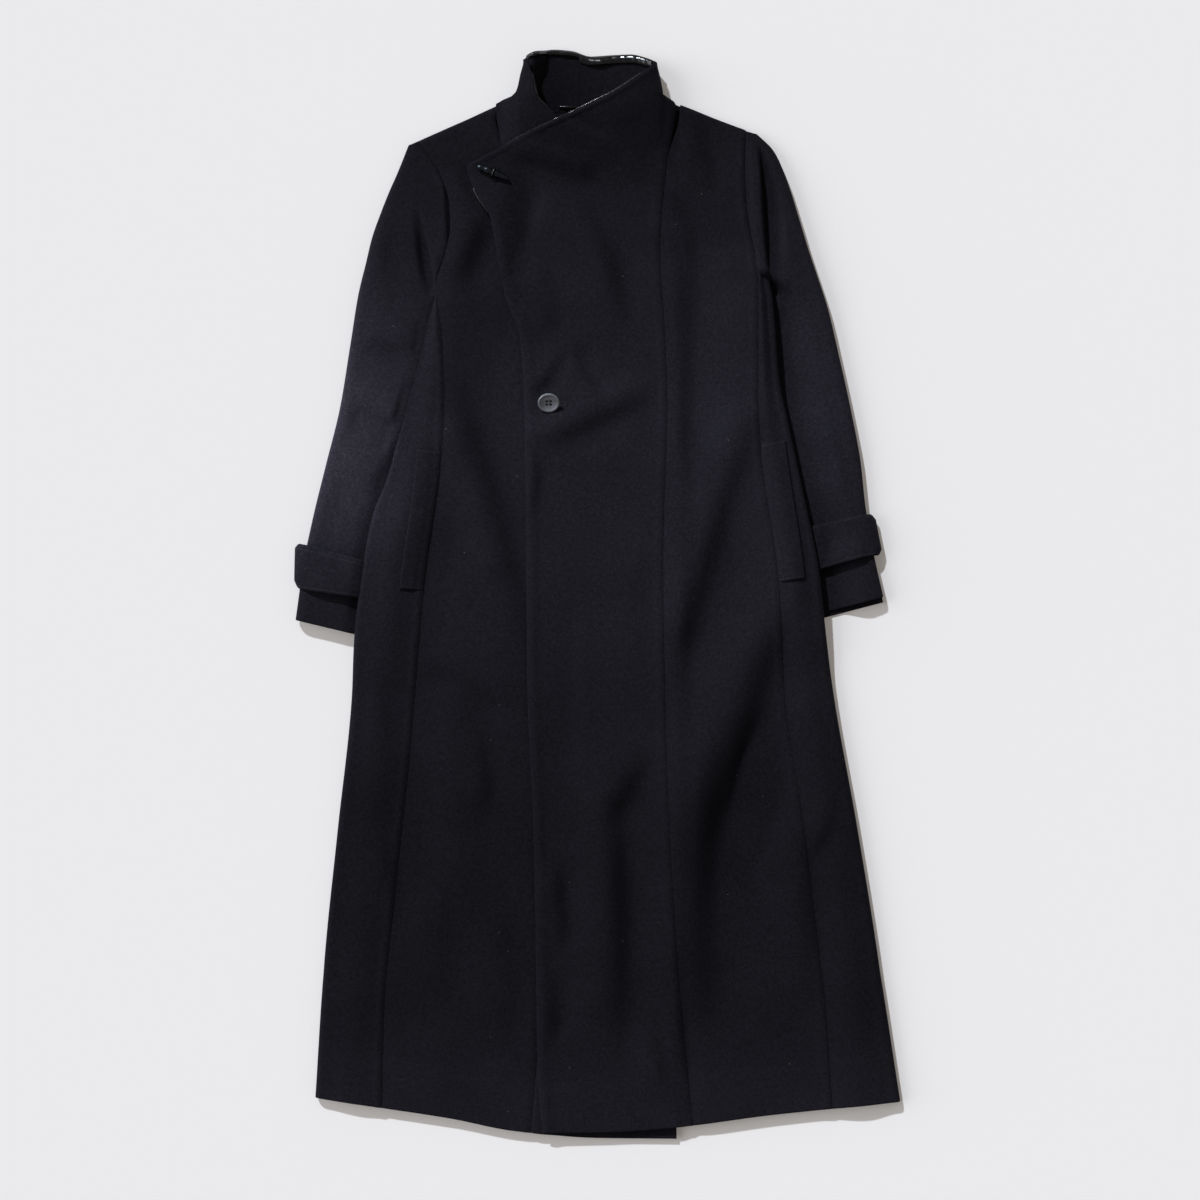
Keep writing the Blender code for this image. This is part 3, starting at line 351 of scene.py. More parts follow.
# The collar is a flattened tube, and this is its section across the neck
NECK_CENTRE = -9.3
NECK_REACH = (1.3, 1.7)
NECK_START, NECK_FULL = 485.0, 600.0
NECK_FRONT_MID, NECK_BACK_MID = 23.3, 19.4
NECK_FRONT_RISE, NECK_BACK_DROP = 13.0, 18.2
NECK_OVER_EXTRA = 5.0
NECK_FLARE = 1.22
NECK_FLARE_FRONT, NECK_FLARE_BACK = 14.5, 14.0
BACK_NECK = 578.7
COLLAR_SEAM = -20.4
COLLAR_FOOT, COLLAR_FULL = 575.0, 605.0

# Small pieces
STRAP_THICK, STRAP_STAND, STRAP_LOW = 3.0, 1.0, 1.7
STRAP_END_ANGLE = math.radians(-50.0)
WELT_THICK, WELT_WIDTH, WELT_INSET = 2.6, 28.6, 0.6
# Each welt: its upper and lower level, how much it rises for each millimetre outwards, how far its inner edge sinks
# into the seam, and over which width
Welt = namedtuple("Welt", "top bottom rise sink turned")
LEFT_WELT = Welt(172.0, 5.5, 0.1, 3.0, (0.0, 17.0))
RIGHT_WELT = Welt(180.5, 16.0, 0.16, 3.0, (0.0, 7.0))
PIPING_RADIUS = 1.2
# Each stretch of piping: its upper and lower level, where it stands out and shines, and how far that reaches
Piping = namedtuple("Piping", "top bottom shine reach")
OVER_PIPING = Piping(629.0, 528.0, 584.0, 14.0)
EDGE_PIPING = Piping(494.0, 449.0, 472.0, 26.0)
UNDER_PIPING = Piping(629.0, 573.0, 600.0, 14.0)
BINDING_THICK, BINDING_TOP, BINDING_REACH = 1.2, 0.985, 0.94
HANGER_ACROSS, HANGER_LEVEL, HANGER_WIDTH, HANGER_BOW = (-45.0, -12.0), 584.5, 4.0, 2.5
BUTTON_CENTRE = (-57.6, 231.0)
BUTTON_FOOT, BUTTON_TILT = 10.8, math.radians(35.0)
TOGGLE_START, TOGGLE_END = (-143.0, 513.0), (-105.0, 497.5)
TOGGLE_RADIUS, TOGGLE_TAPER, TOGGLE_WAIST = 4.0, 0.62, 0.4
LOOP_RADIUS, LOOP_ANGLES = 1.1, (math.radians(-28.0), math.radians(208.0))
# The button's turned shape, from its foot to the well inside its rim, as radius and height
BUTTON_PROFILE = ((BUTTON_FOOT, 0.0), (12.2, 0.5), (12.9, 1.3), (13.1, 2.1), (12.9, 2.8), (12.3, 3.3), (11.5, 3.5),
                  (10.7, 3.3), (10.0, 2.8), (9.4, 2.4), (4.6, 2.2))
HOLE_RADIUS, HOLE_PLACE = 1.75, 3.2

Stop = namedtuple("Stop", "level across")
Hem = namedtuple("Hem", "across level")
SideRow = namedtuple("SideRow", "level lift roll")
SleeveRow = namedtuple("SleeveRow", "in_x in_y out_x out_y height tuck")
Fold = namedtuple("Fold", "x0 y0 x1 y1 width height")
NeckRow = namedtuple("NeckRow", "level half_width")
CollarRow = namedtuple("CollarRow", "share left right")

NECK_WIDTHS = [NeckRow(*row) for row in ((640, 77.5), (634, 79.3), (614, 84.2), (599, 87.5), (560, 88.5))]
# Sides of the back collar, from the neck seam to its top edge
COLLAR_SIDES = [CollarRow(*row) for row in (
    (0.0, -119, 108), (0.1, -118, 105), (0.17, -114, 96), (0.24, -108, 87), (0.31, -100, 79.5),
    (0.6, -91, 75.8), (1.0, -87, 71.5))]

# How far each lies across the coat, level by level from the collar to the hem
OVER_EDGE = [Stop(*row) for row in (
    (634, 69.6), (614, 41), (599, 18), (580, -19), (553, -80), (535, -116), (523, -140), (513, -155),
    (488, -147.5), (451, -127), (415, -120), (357, -109), (307, -91.5), (222, -86.5), (42, -84),
    (-101, -83), (-281, -75.5), (-462, -72), (-561, -71), (-640, -65))]
PRINCESS = [Stop(*row) for row in (
    (634, 71), (614, 76), (599, 78), (588, 94), (560, 91), (521, 84), (415, 75.5), (307, 81.5),
    (235, 84), (42, 79), (-125, 81.5), (-281, 87), (-450, 97), (-640, 115))]
UNDER_PRINCESS = [Stop(*row) for row in (
    (634, -87), (624, -90), (599, -97), (588, -121), (545, -115), (450, -75), (366, -62), (-450, -66),
    (-640, -79))]
UNDER_EDGE = [Stop(*row) for row in (
    (634, -82), (619, -77), (595, -72), (577, -53), (568, -44.5), (547, 0), (516, 42), (486, 74), (430, 104),
    (366, 108), (235, 103), (-125, 99), (-365, 92), (-640, 95))]
LEFT_SEAM = [Stop(*row) for row in (
    (541, -217), (524, -200.5), (499, -185), (470, -176.5), (441, -175), (418, -179), (366, -192),
    (307, -185), (235, -182.5), (175, -185), (5, -207), (-197, -224.5), (-365, -242.5), (-497, -254.5),
    (-640, -257.5))]
RIGHT_SEAM = [Stop(*row) for row in (
    (551, 178.5), (512, 176.5), (470, 178.5), (434, 183.5), (405, 189.5), (366, 192), (235, 192),
    (175, 195.5), (16, 217), (-125, 225.5), (-245, 243.5), (-365, 258), (-497, 273.5), (-640, 281.5))]
LEFT_FOLD = [Stop(*row) for row in (
    (560, -228), (450, -212), (366, -196), (307, -210), (235, -227), (140, -251), (98, -267.5), (40, -279),
    (-53, -290.5), (-125, -294), (-284, -311), (-450, -327.5), (-640, -337.5))]
RIGHT_FOLD = [Stop(*row) for row in (
    (560, 215), (450, 203), (400, 200), (388, 203), (355, 210), (330, 212.5), (290, 215.5), (255, 218.5),
    (210, 228), (175, 235.5), (107, 250), (31, 265.5), (-47, 274), (-125, 284.5), (-273, 311), (-435, 337),
    (-640, 363.5))]

# How far each side is lifted by the sleeve under it, and how large the roll of cloth at its fold is
LEFT_SIDE = [SideRow(*row) for row in (
    (560, 0, 3.0), (420, 0, 3.2), (366, 8.0, 2.6), (345, 10.4, 2.6), (200, 10.4, 2.6), (140, 9.5, 4.0),
    (75, 11.5, 5.0), (-12, 11.5, 5.0), (-70, 7.0, 5.4), (-120, 0, 6.6), (-640, 0, 5.4))]
RIGHT_SIDE = [SideRow(*row) for row in (
    (560, 0, 3.0), (430, 0, 3.2), (398, 5.0, 4.6), (388, 8.0, 5.4), (340, 11.0, 6.4), (140, 10.0, 6.4),
    (100, 12.0, 6.2), (18, 12.0, 6.2), (-40, 8.0, 6.4), (-100, 0, 6.6), (-640, 0, 5.4))]

# Hems, across the coat
UNDER_HEM = [Hem(*row) for row in ((-340, -601), (-254, -614), (-176, -626), (-100, -641), (0, -650), (100, -651))]
OVER_HEM = [Hem(*row) for row in ((-90, -643), (0, -642.5), (95, -636.5), (200, -623), (365, -606))]
COLLAR_TOP = [Hem(*row) for row in (
    (-90, 637), (-86, 642), (-81, 647), (-68, 651.5), (-50, 654.4), (-30, 653), (-8, 646.5), (20, 648),
    (40, 648.4), (58, 644), (78, 633))]

# Sleeves: the ends of each section, its height and how much of it lies tucked under the body
LEFT_SLEEVE = [SleeveRow(*row) for row in (
    (-216, 543, -226, 539, 9, 0), (-201, 524, -238, 508, 13, 0), (-186, 498, -249, 483, 16, 0),
    (-177.5, 470, -260, 455, 17.5, 0), (-176, 440, -269.5, 428, 18, 0), (-181, 412, -277, 397, 18, 0),
    (-192, 368, -286, 360, 17, 11), (-192.5, 300, -296, 298, 16, 22), (-197, 222, -308, 225, 15.5, 38),
    (-207, 145, -325, 156, 15.5, 48), (-217, 80, -340, 95, 15.5, 57), (-226, 15, -351, 42, 16, 60),
    (-234, -60, -361.2, -29.4, 17, 60))]
RIGHT_SLEEVE = [SleeveRow(*row) for row in (
    (179.5, 556, 192, 552, 9, 0), (178, 531, 212, 532, 13, 0), (177.5, 505, 227, 499, 16, 0),
    (179.5, 468, 241, 455, 17.5, 0), (184.5, 434, 253, 415, 18, 0), (190.3, 407, 265, 379, 18, 2),
    (187, 365, 277, 342, 17, 18), (181, 307, 290, 287, 16, 36), (187, 235, 305, 219, 15.5, 42),
    (196, 170, 316, 160, 15.5, 46), (206, 105, 322, 105, 15.5, 49), (217, 45, 331, 53, 16, 50),
    (228, -32, 343.2, -1.8, 17, 50))]
ARMHOLE_GAP = 0.8
RIGHT_CUFF_SHOW = 6.5
# Straps: the stretch of the sleeve's rows that each covers under the body and at the outer edge, how far its loop
# stands off there along both edges, and how far it reaches under the body
Strap = namedtuple("Strap", "under outer loop")
LEFT_STRAP = Strap((10.77, 11.41), (10.67, 11.49), (10.5, 3.0))
RIGHT_STRAP = Strap((10.43, 11.30), (10.15, 11.10), (6.0, 6.5))
STRAP_UNDER_BODY = 14.0

# The largest folds, as soft ridges on the fronts
FOLDS = [Fold(*row) for row in (
    (-104, 539, -20, 513, 26, 4.0),
    (-59, 487, -30, 355, 50, 5.0),
    (76, 443, 156, 400, 32, 3.5),
    (-62, 200, 50, 250, 32, 3.5),
    (165, 210, 100, -30, 46, 5.0),
    (-172, 187, -128, 42, 42, 4.5),
    (160, -150, 150, -420, 52, 4.5),
    (2, -210, 2, -470, 56, 4.5),
    (-176, -125, -168, -365, 60, 4.0))]

HEM_FROM, NOMINAL_HEM = -450.0, -640.0
OVER_TOP, UNDER_TOP = 634.0, 639.5
# In the shells the seams are closed: neighbours run this far into each other, below their rounded rims
SEAM_LAP = 0.4


def smooth(start, end, value):
    """0 before the start and 1 after the end, with a soft passage between."""
    share = np.clip((value - start) / (end - start), 0.0, 1.0)
    return share * share * (3 - 2 * share)


def mix(first, second, share):
    """The first value at share 0, and the second at share 1."""
    return first + (second - first) * share


def through(rows, column, by="level"):
    """A smooth curve through one column of a table, with no overshoot between its rows."""
    ordered = sorted(rows, key=lambda row: getattr(row, by))
    at = np.array([getattr(row, by) for row in ordered], float)
    value = np.array([getattr(row, column) for row in ordered], float)
    steps = np.diff(at)
    rates = np.diff(value) / steps
    slopes = np.concatenate(([rates[0]], np.zeros(len(rates) - 1), [rates[-1]]))
    for k in range(1, len(rates)):
        if rates[k - 1] * rates[k] > 0:
            slopes[k] = 2 * rates[k - 1] * rates[k] / (rates[k - 1] + rates[k])

    def curve(place):
        place = np.clip(place, at[0], at[-1])
        k = np.clip(np.searchsorted(at, place) - 1, 0, len(steps) - 1)
        share = (place - at[k]) / steps[k]
        rest = 1 - share
        return ((1 + 2 * share) * rest ** 2 * value[k] + share * rest ** 2 * steps[k] * slopes[k]
                + share ** 2 * (3 - 2 * share) * value[k + 1] - share ** 2 * rest * steps[k] * slopes[k + 1])

    return curve


over_edge = through(OVER_EDGE, "across")
princess = through(PRINCESS, "across")
under_princess = through(UNDER_PRINCESS, "across")
under_edge = through(UNDER_EDGE, "across")
left_seam = through(LEFT_SEAM, "across")
right_seam = through(RIGHT_SEAM, "across")
left_fold = through(LEFT_FOLD, "across")
right_fold = through(RIGHT_FOLD, "across")
left_lift = through(LEFT_SIDE, "lift")
right_lift = through(RIGHT_SIDE, "lift")
left_roll = through(LEFT_SIDE, "roll")
right_roll = through(RIGHT_SIDE, "roll")
under_hem = through(UNDER_HEM, "level", by="across")
over_hem = through(OVER_HEM, "level", by="across")
collar_top = through(COLLAR_TOP, "level", by="across")
neck_half_width = through(NECK_WIDTHS, "half_width")
print("over front's edge at the button:", round(float(over_edge(BUTTON_CENTRE[1])), 1), "mm from the middle")

# %% [markdown]
# Creases are listed one by one. Under a raking light a crease shows as a dark flank beside a bright one, so each row
# of the crease tables is one such flank: the cloth is high on one side of its path and low on the other. A bow bends
# the path. The folds in the cut's table are plain ridges, gutters run beside the armholes, and a few broad bulges
# lie where the sleeves are tucked under and over the chest. All of them fade out at their ends.

# %% Creases
Flank = namedtuple("Flank", "x0 y0 x1 y1 bow width steep")
OVER_FLANKS = [Flank(*row) for row in (
    (-114, 533, -22, 501, 3, 11, -0.3),
    (-99, 502, -97, 380, 0, 20, 0.55),
    (-64, 496, -88, 400, 3, 7, -0.4),
    (-28, 482, 34, 326, 10, 13, 0.6),
    (-62, 414, -55, 312, 3, 15, 0.38),
    (-36, 296, -76, 240, 2, 8, 0.5),
    (-31, 296, 8, 237, -2, 8, 0.65),
    (-84, 166, 70, 236, 3, 12, -0.3),
    (-70, 170, -78, 94, 2, 8, 0.35),
    (78, 450, 190, 389, 0, 9, 0.28),
    (102, 414, 102, 150, 0, 9, 0.38),
    (112, 566, 140, 486, 3, 11, 0.4),
    (20, 562, 66, 505, 5, 12, 0.25),
    (197, 222, 88, -128, -8, 18, 0.48),
    (222, -16, 154, -286, -6, 22, 0.88),
    (150, -138, 130, -510, -9, 21, 0.98),
    (176, -200, 164, -330, 0, 12, 0.4),
    (236, -230, 260, -490, 3, 13, 0.4),
    (304, -215, 254, -318, 3, 11, 0.45),
    (60, -180, 14, -276, 2, 14, 0.45),
    (18, -240, 27, -540, 6, 13, 0.6),
    (-50, -320, -39, -420, 2, 10, 0.62),
    (-54, -450, -52, -535, 2, 9, 0.52),
    (95, -492, 105, -594, 2, 8, 0.32),
    (60, -506, 88, -596, 2, 10, 0.36),
    (-25, -30, -25, -205, 2, 9, -0.2),
    (64, 60, 48, -130, -4, 18, 0.16))]
UNDER_FLANKS = [Flank(*row) for row in (
    (-128, 466, -164, 360, -3, 15, 0.55),
    (-170, 512, -140, 446, 2, 9, 0.32),
    (-176, 256, -84, -64, 13, 14, 0.6),
    (-206, -80, -100, -140, 3, 13, -0.48),
    (-142, -160, -130, -262, 2, 9, 0.36),
    (-272, -84, -254, -184, 3, 12, 0.3),
    (-252, -296, -240, -398, 2, 9, 0.3),
    (-182, -330, -176, -490, -4, 18, 0.16),
    (-112, -380, -108, -530, 3, 14, 0.18))]
LEFT_ARM_FLANKS = [Flank(*row) for row in (
    (-300, 232, -228, 196, 3, 10, -0.45),
    (-218, 262, -240, 198, 2, 8, 0.36),
    (-292, 302, -214, 287, 4, 12, -0.32),
    (-264, 440, -251, 322, 4, 14, 0.2),
    (-320, 142, -262, 125, 3, 15, -0.12))]
RIGHT_ARM_FLANKS = [Flank(*row) for row in (
    (250, 480, 265, 362, 3, 16, 0.2),
    (266, 252, 304, 235, 3, 14, -0.12),
    (284, 222, 300, 112, 3, 15, 0.16))]
# Gutters beside the armholes: their paths, half the width of the floor, the slopes on both sides, the depth, and how
# far down the deepest place lies
Gutter = namedtuple("Gutter", "x0 y0 x1 y1 bow half before after depth lean")
LEFT_GUTTERS = [Gutter(*row) for row in (
    (-215, 468, -196, 360, 0, 4.5, 9, 3, 9.5, 1.7), (-185, 514, -177, 408, 4.5, 2.4, 4, 1.5, 5.5, 1.2))]
RIGHT_GUTTERS = [Gutter(*row) for row in (
    (199, 566, 213, 350, 0, 6.5, 4, 14, 10.5, 1.0), (186, 562, 200, 366, 0, 3, 8, 5, -7.5, 1.0))]
GUTTER_FULLNESS = 0.75
# How far each front is puffed up as a whole
SWELL, UNDER_SWELL = 6.0, 5.0
CREASE_FADE, CREASE_UNEVEN, CREASE_BEATS = (-0.14, 0.36), 0.2, 7.0
Bulge = namedtuple("Bulge", "x y wide long height")
OVER_BULGES = (Bulge(190, 20, 95, 200, 7.0), Bulge(30, 450, 80, 75, 3.0))
UNDER_BULGES = (Bulge(-190, 20, 70, 150, 4.0),)
SLOW_WAVES = ((0.021, 0.013, 0.4), (-0.017, 0.026, 2.1), (0.034, -0.009, 4.0), (0.011, 0.041, 5.2))
WAVE_HEIGHT = 0.32
# The under collar's inner edge curls up
COLLAR_CURL, CURL_LEVELS, CURL_WIDTH = 4.0, (576.0, 600.0), 20.0
# One end of the back collar rises steeply towards it: how far, how wide, and from which level up
WALL_HEIGHT, WALL_TOP, WALL_WIDTH, WALL_LEVELS = 14.0, 11.0, 29.0, (586.0, 604.0)


def crease_height(x, y, flanks):
    """Height of listed creases: high on the path's left, low on its right, where the path runs down the coat."""
    total = np.zeros(np.broadcast(x, y).shape)
    for flank in flanks:
        run_x, run_y = flank.x1 - flank.x0, flank.y1 - flank.y0
        length = math.hypot(run_x, run_y)
        along = ((x - flank.x0) * run_x + (y - flank.y0) * run_y) / length ** 2
        aside = ((y - flank.y0) * run_x - (x - flank.x0) * run_y) / length
        inside = np.clip(along, 0.0, 1.0)
        aside = (aside - flank.bow * 4 * inside * (1 - inside)) / flank.width
        fade = smooth(*CREASE_FADE, along) * smooth(*CREASE_FADE, 1 - along)
        uneven = 1 + CREASE_UNEVEN * np.sin(CREASE_BEATS * along + flank.x0)
        total -= flank.steep * flank.width * uneven * fade * aside * np.exp(1 - np.sqrt(1 + aside * aside))
    return total


def gutter_height(x, y, gutters):
    """Gutters with a floor and two unlike slopes, pointed at both ends. A negative one is a ridge."""
    total = np.zeros(np.broadcast(x, y).shape)
    for row in gutters:
        run_x, run_y = row.x1 - row.x0, row.y1 - row.y0
        length = math.hypot(run_x, run_y)
        share = np.clip(((x - row.x0) * run_x + (y - row.y0) * run_y) / length ** 2, 0.0, 1.0)
        aside = ((y - row.y0) * run_x - (x - row.x0) * run_y) / length - row.bow * 4 * share * (1 - share)
        full = np.sin(math.pi * share ** row.lean) ** GUTTER_FULLNESS
        half = row.half * full
        inside = smooth(-half - row.before, -half, aside) * (1 - smooth(half, half + row.after, aside))
        total -= row.depth * full * inside
    return total


def bulge_height(x, y, bulges):
    """Broad forms, where the layers below are thickest."""
    return sum(form.height * np.exp(-((x - form.x) / form.wide) ** 2 - ((y - form.y) / form.long) ** 2)
               for form in bulges)


def slow_waves(x, y):
    """The cloth never lies quite level: a few long, low waves."""
    return WAVE_HEIGHT * sum(np.sin(along * x + up * y + start) for along, up, start in SLOW_WAVES)


def ridge_height(x, y, folds):
    """Plain ridges along the largest folds."""
    total = np.zeros(np.broadcast(x, y).shape)
    for fold in folds:
        run = (fold.x1 - fold.x0, fold.y1 - fold.y0)
        share = ((x - fold.x0) * run[0] + (y - fold.y0) * run[1]) / (run[0] ** 2 + run[1] ** 2)
        share = np.clip(share, 0.0, 1.0)
        away = np.hypot(x - fold.x0 - share * run[0], y - fold.y0 - share * run[1])
        total += fold.height * np.exp(-(2 * away / fold.width) ** 2)
    return total


print("creases:", len(OVER_FLANKS + UNDER_FLANKS + LEFT_ARM_FLANKS + RIGHT_ARM_FLANKS))

# %% [markdown]
# Now the heights of the layers. The under front lies on the back. The over front lies on the under front and steps
# down beyond its hidden edge. Both climb to the rolls of cloth at the sides and to the flattened tube of the collar.

# %% Heights of the layers
def to_hem(level, x, hem):
    """The true level of a section that settles on the hem's curve towards its lower end."""
    lower = HEM_FROM + (level - HEM_FROM) * (hem(x) - HEM_FROM) / (NOMINAL_HEM - HEM_FROM)
    return np.where(level > HEM_FROM, level + 0 * x, lower)


def side_rise(x, y):
    """How far the cloth climbs towards the rolls at both sides."""
    left_top = BACK_MID + left_lift(y) + 2 * left_roll(y) - FRONT_REST
    right_top = BACK_MID + right_lift(y) + 2 * right_roll(y) - FRONT_REST
    left = left_top * (1 - smooth(*SIDE_SPREAD, x - left_fold(y)))
    right = right_top * (1 - smooth(*SIDE_SPREAD, right_fold(y) - x))
    return left + right


def neck_arch(x, y):
    """The arch of the collar's tube across the neck, and the flare beyond its ends."""
    place = np.abs(x - NECK_CENTRE) / neck_half_width(y)
    return np.sqrt(np.maximum(0.0, 1 - place * place)), smooth(1.0, NECK_FLARE, place)


def bare_height(x, y):
    """Middle of a front with no folds in it."""
    flat = FRONT_REST + side_rise(x, y)
    arch, flare = neck_arch(x, y)
    tube = NECK_FRONT_MID + NECK_FRONT_RISE * arch - NECK_FLARE_FRONT * flare
    reach = 1 - smooth(*NECK_REACH, np.abs(x - NECK_CENTRE) / neck_half_width(y))
    return mix(flat, tube, smooth(NECK_START, NECK_FULL, y) * reach)


def off_neck(y):
    """1 on the body, and 0 on the collar."""
    return 1 - smooth(NECK_START, NECK_FULL, y)


def settled(height):
    """No valley goes down into the back."""
    above = height - LEAST_MID
    return LEAST_MID + (above + np.sqrt(above * above + LEAST_ROUND ** 2)) / 2


def front_height(x, y):
    """Middle of the under front, creased only where the other front leaves it open."""
    shown = 1 - smooth(*FOLD_FADE, x - over_edge(y))
    loose = UNDER_SWELL * off_neck(y) + ridge_height(x, y, FOLDS) + bulge_height(x, y, UNDER_BULGES)
    loose = loose + crease_height(x, y, UNDER_FLANKS) + slow_waves(x, y)
    curl = COLLAR_CURL * smooth(*CURL_LEVELS, y) * (1 - smooth(0.0, CURL_WIDTH, under_edge(y) - x))
    return settled(bare_height(x, y) + loose * shown + curl)


def over_height(x, y):
    """Middle of the front that lies over the other."""
    edge = under_edge(y)
    neck = smooth(NECK_START, NECK_FULL, y)
    lap = (LAP + NECK_LAP * neck) * (1 - smooth(edge + LAP_SLOPE[0], edge + LAP_SLOPE[1], x))
    loose = SWELL * off_neck(y) + ridge_height(x, y, FOLDS) + bulge_height(x, y, OVER_BULGES)
    loose = loose + crease_height(x, y, OVER_FLANKS) + slow_waves(x, y)
    return settled(bare_height(x, y) + loose + lap + NECK_OVER_EXTRA * neck_arch(x, y)[0] * neck)


def collar_back_height(x, y):
    """Middle of the back collar, with the steep wall at one end."""
    arch, flare = neck_arch(x, y)
    tube = NECK_BACK_MID - NECK_BACK_DROP * arch - NECK_FLARE_BACK * flare
    from_end = x - NECK_CENTRE + neck_half_width(y)
    wall = WALL_HEIGHT * smooth(*WALL_LEVELS, y)
    wall = wall * smooth(0.0, WALL_TOP, from_end) * (1 - smooth(WALL_TOP, WALL_WIDTH, from_end))
    return mix(BACK_MID, tube, smooth(COLLAR_FOOT, COLLAR_FULL, y)) + wall


print("over front at the button:", round(float(over_height(*np.array(BUTTON_CENTRE))), 1), "mm high")

# %% [markdown]
# Every cloth piece is a closed shell: a grid of middle points, moved half the cloth's thickness to both sides, with
# the thickness rounded off towards the rim. Extra rows and columns close to the rim keep that rounding tight.

# %% Shells of cloth
# How far inside a rim the extra rows and columns lie. Where two stretches of a grid join, they are left out.
RIM_STEPS = (0.35, 1.1, 2.4)
RIMS = len(RIM_STEPS)
RIM_CLEAR, RIM_RADIUS, RIM_LEFT = 1.5, 1.4, 0.2


def with_rims(count, length):
    """Shares from 0 to 1, evenly apart, with a few more close to each end."""
    rims = [step / length for step in RIM_STEPS]
    inner = np.linspace(0, 1, count + 1)[1:-1]
    inner = inner[(inner > RIM_CLEAR * rims[-1]) & (inner < 1 - RIM_CLEAR * rims[-1])]
    return np.concatenate(([0.0], rims, inner, [1 - share for share in reversed(rims)], [1.0]))


def unit(vectors):
    return vectors / np.linalg.norm(vectors, axis=-1, keepdims=True)


def rim_share(grid):
    """1 inside a piece, and less towards its rim, along a quarter circle."""
    down = np.cumsum(np.linalg.norm(np.diff(grid, axis=0, prepend=grid[:1]), axis=2), axis=0)
    over = np.cumsum(np.linalg.norm(np.diff(grid, axis=1, prepend=grid[:, :1]), axis=2), axis=1)
    away = np.minimum(np.minimum(down, down[-1:] - down), np.minimum(over, over[:, -1:] - over))
    inside = 1 - np.clip(away / RIM_RADIUS, 0.0, 1.0)
    return RIM_LEFT + (1 - RIM_LEFT) * np.sqrt(1 - inside * inside)


def add_piece(name, points, faces, look):
    mesh = bpy.data.meshes.new(name)
    spots = (np.array(points, float) - CENTRE) * MM
    mesh.from_pydata(spots.tolist(), [], faces)
    mesh.materials.append(LOOKS[look])
    mesh.shade_smooth()
    made = bpy.data.objects.new(name, mesh)
    bpy.context.scene.collection.objects.link(made)
    return made


def stand_for(made, node):
    """The piece moves with the coat and stands for one solid."""
    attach(made, "root")
    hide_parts(node)


def shell_mesh(name, grid, thick, look):
    middle = np.array(grid, float)
    square = unit(np.cross(np.gradient(middle, axis=1), np.gradient(middle, axis=0)))
    offset = square * (thick / 2 * rim_share(middle))[:, :, None]
    rows, columns = middle.shape[:2]
    points = np.concatenate(((middle - offset).reshape(-1, 3), (middle + offset).reshape(-1, 3)))
    index = np.arange(rows * columns).reshape(rows, columns)
    here, right = index[:-1, :-1], index[:-1, 1:]
    below, across = index[1:, :-1], index[1:, 1:]
    shift = rows * columns
    outer = np.stack((here, right, across, below), axis=-1).reshape(-1, 4) + shift
    inner = np.stack((below, across, right, here), axis=-1).reshape(-1, 4)
    rim = np.concatenate((index[0], index[1:, -1], index[-1, -2::-1], index[-2:0:-1, 0]))
    after = np.roll(rim, -1)
    edge = np.stack((after + shift, rim + shift, rim, after), axis=-1)
    faces = np.concatenate((outer, inner, edge)).tolist()
    return add_piece(name, points, faces, look)


def cloth(node, grid, thick=WOOL):
    """A cut piece of wool: a shell that stands for its solid."""
    made = shell_mesh("coat_" + node, grid, thick, "wool")
    stand_for(made, node)


print("rims rounded to:", RIM_RADIUS, "mm")

# %% [markdown]
# The four front pieces lie between two lines of the cut. At a sewn seam the cloth dips into a narrow ditch, and where
# the seam's allowance is pressed to one side, that side stands a little higher. A free edge holds a facing inside,
# so it is thick and soft. The hem is turned up, which shows as a smoother, slightly raised band.

# %% Fronts
DITCH_DEPTH, DITCH_WIDTH = 1.1, 3.0
PRESSED_HEIGHT, PRESSED_AT, PRESSED_WIDTH, LOWER_WIDTH = 0.9, 5.0, 3.6, 9.0
FREE_HEIGHT, FREE_AT, FREE_WIDTH, FREE_DROP, FREE_LIP = 1.3, 7.0, 6.0, 0.5, 2.0
HEM_TURN, HEM_STEP, HEM_HEIGHT = 54.0, 7.0, 0.9
SHOULDER_ROLL, SHOULDER_LOW, SHOULDER_TURN = 8.0, 4.2, 0.99
ROW_STEP, COLUMN_STEP = 3.6, 3.6


def seam_edge(away):
    return -DITCH_DEPTH * np.exp(-(away / DITCH_WIDTH) ** 2)


def pressed_edge(away):
    return seam_edge(away) + PRESSED_HEIGHT * np.exp(-((away - PRESSED_AT) / PRESSED_WIDTH) ** 2)


def lower_edge(away):
    """The lower side of a pressed seam: a ditch with a long, gentle slope."""
    return -DITCH_DEPTH * np.exp(-(away / LOWER_WIDTH) ** 2)


def free_edge(away):
    thick = FREE_HEIGHT * np.exp(-((away - FREE_AT) / FREE_WIDTH) ** 2)
    return thick - FREE_DROP * np.exp(-(away / FREE_LIP) ** 2)


def no_edge(away):
    return 0 * away


def hem_band(x, y, hem):
    up = y - hem(x)
    return HEM_HEIGHT * (1 - smooth(HEM_TURN - HEM_STEP, HEM_TURN + HEM_STEP, up))


def no_tilt(level, share):
    return 0 * level


def shoulder_tilt(top, run, arm_share):
    def tilt(level, share):
        return run * np.maximum(0.0, (level - ARMPIT) / (top - ARMPIT)) * (1 - np.abs(share - arm_share))
    return tilt


def shoulder_roll(down, z):
    """Height near a shoulder's upper edge, where the cloth rolls over to the back."""
    inside = 1 - np.clip(down / SHOULDER_ROLL, 0.0, 1.0)
    return z - (z - SHOULDER_LOW) * (1 - np.sqrt(1 - SHOULDER_TURN * inside * inside))


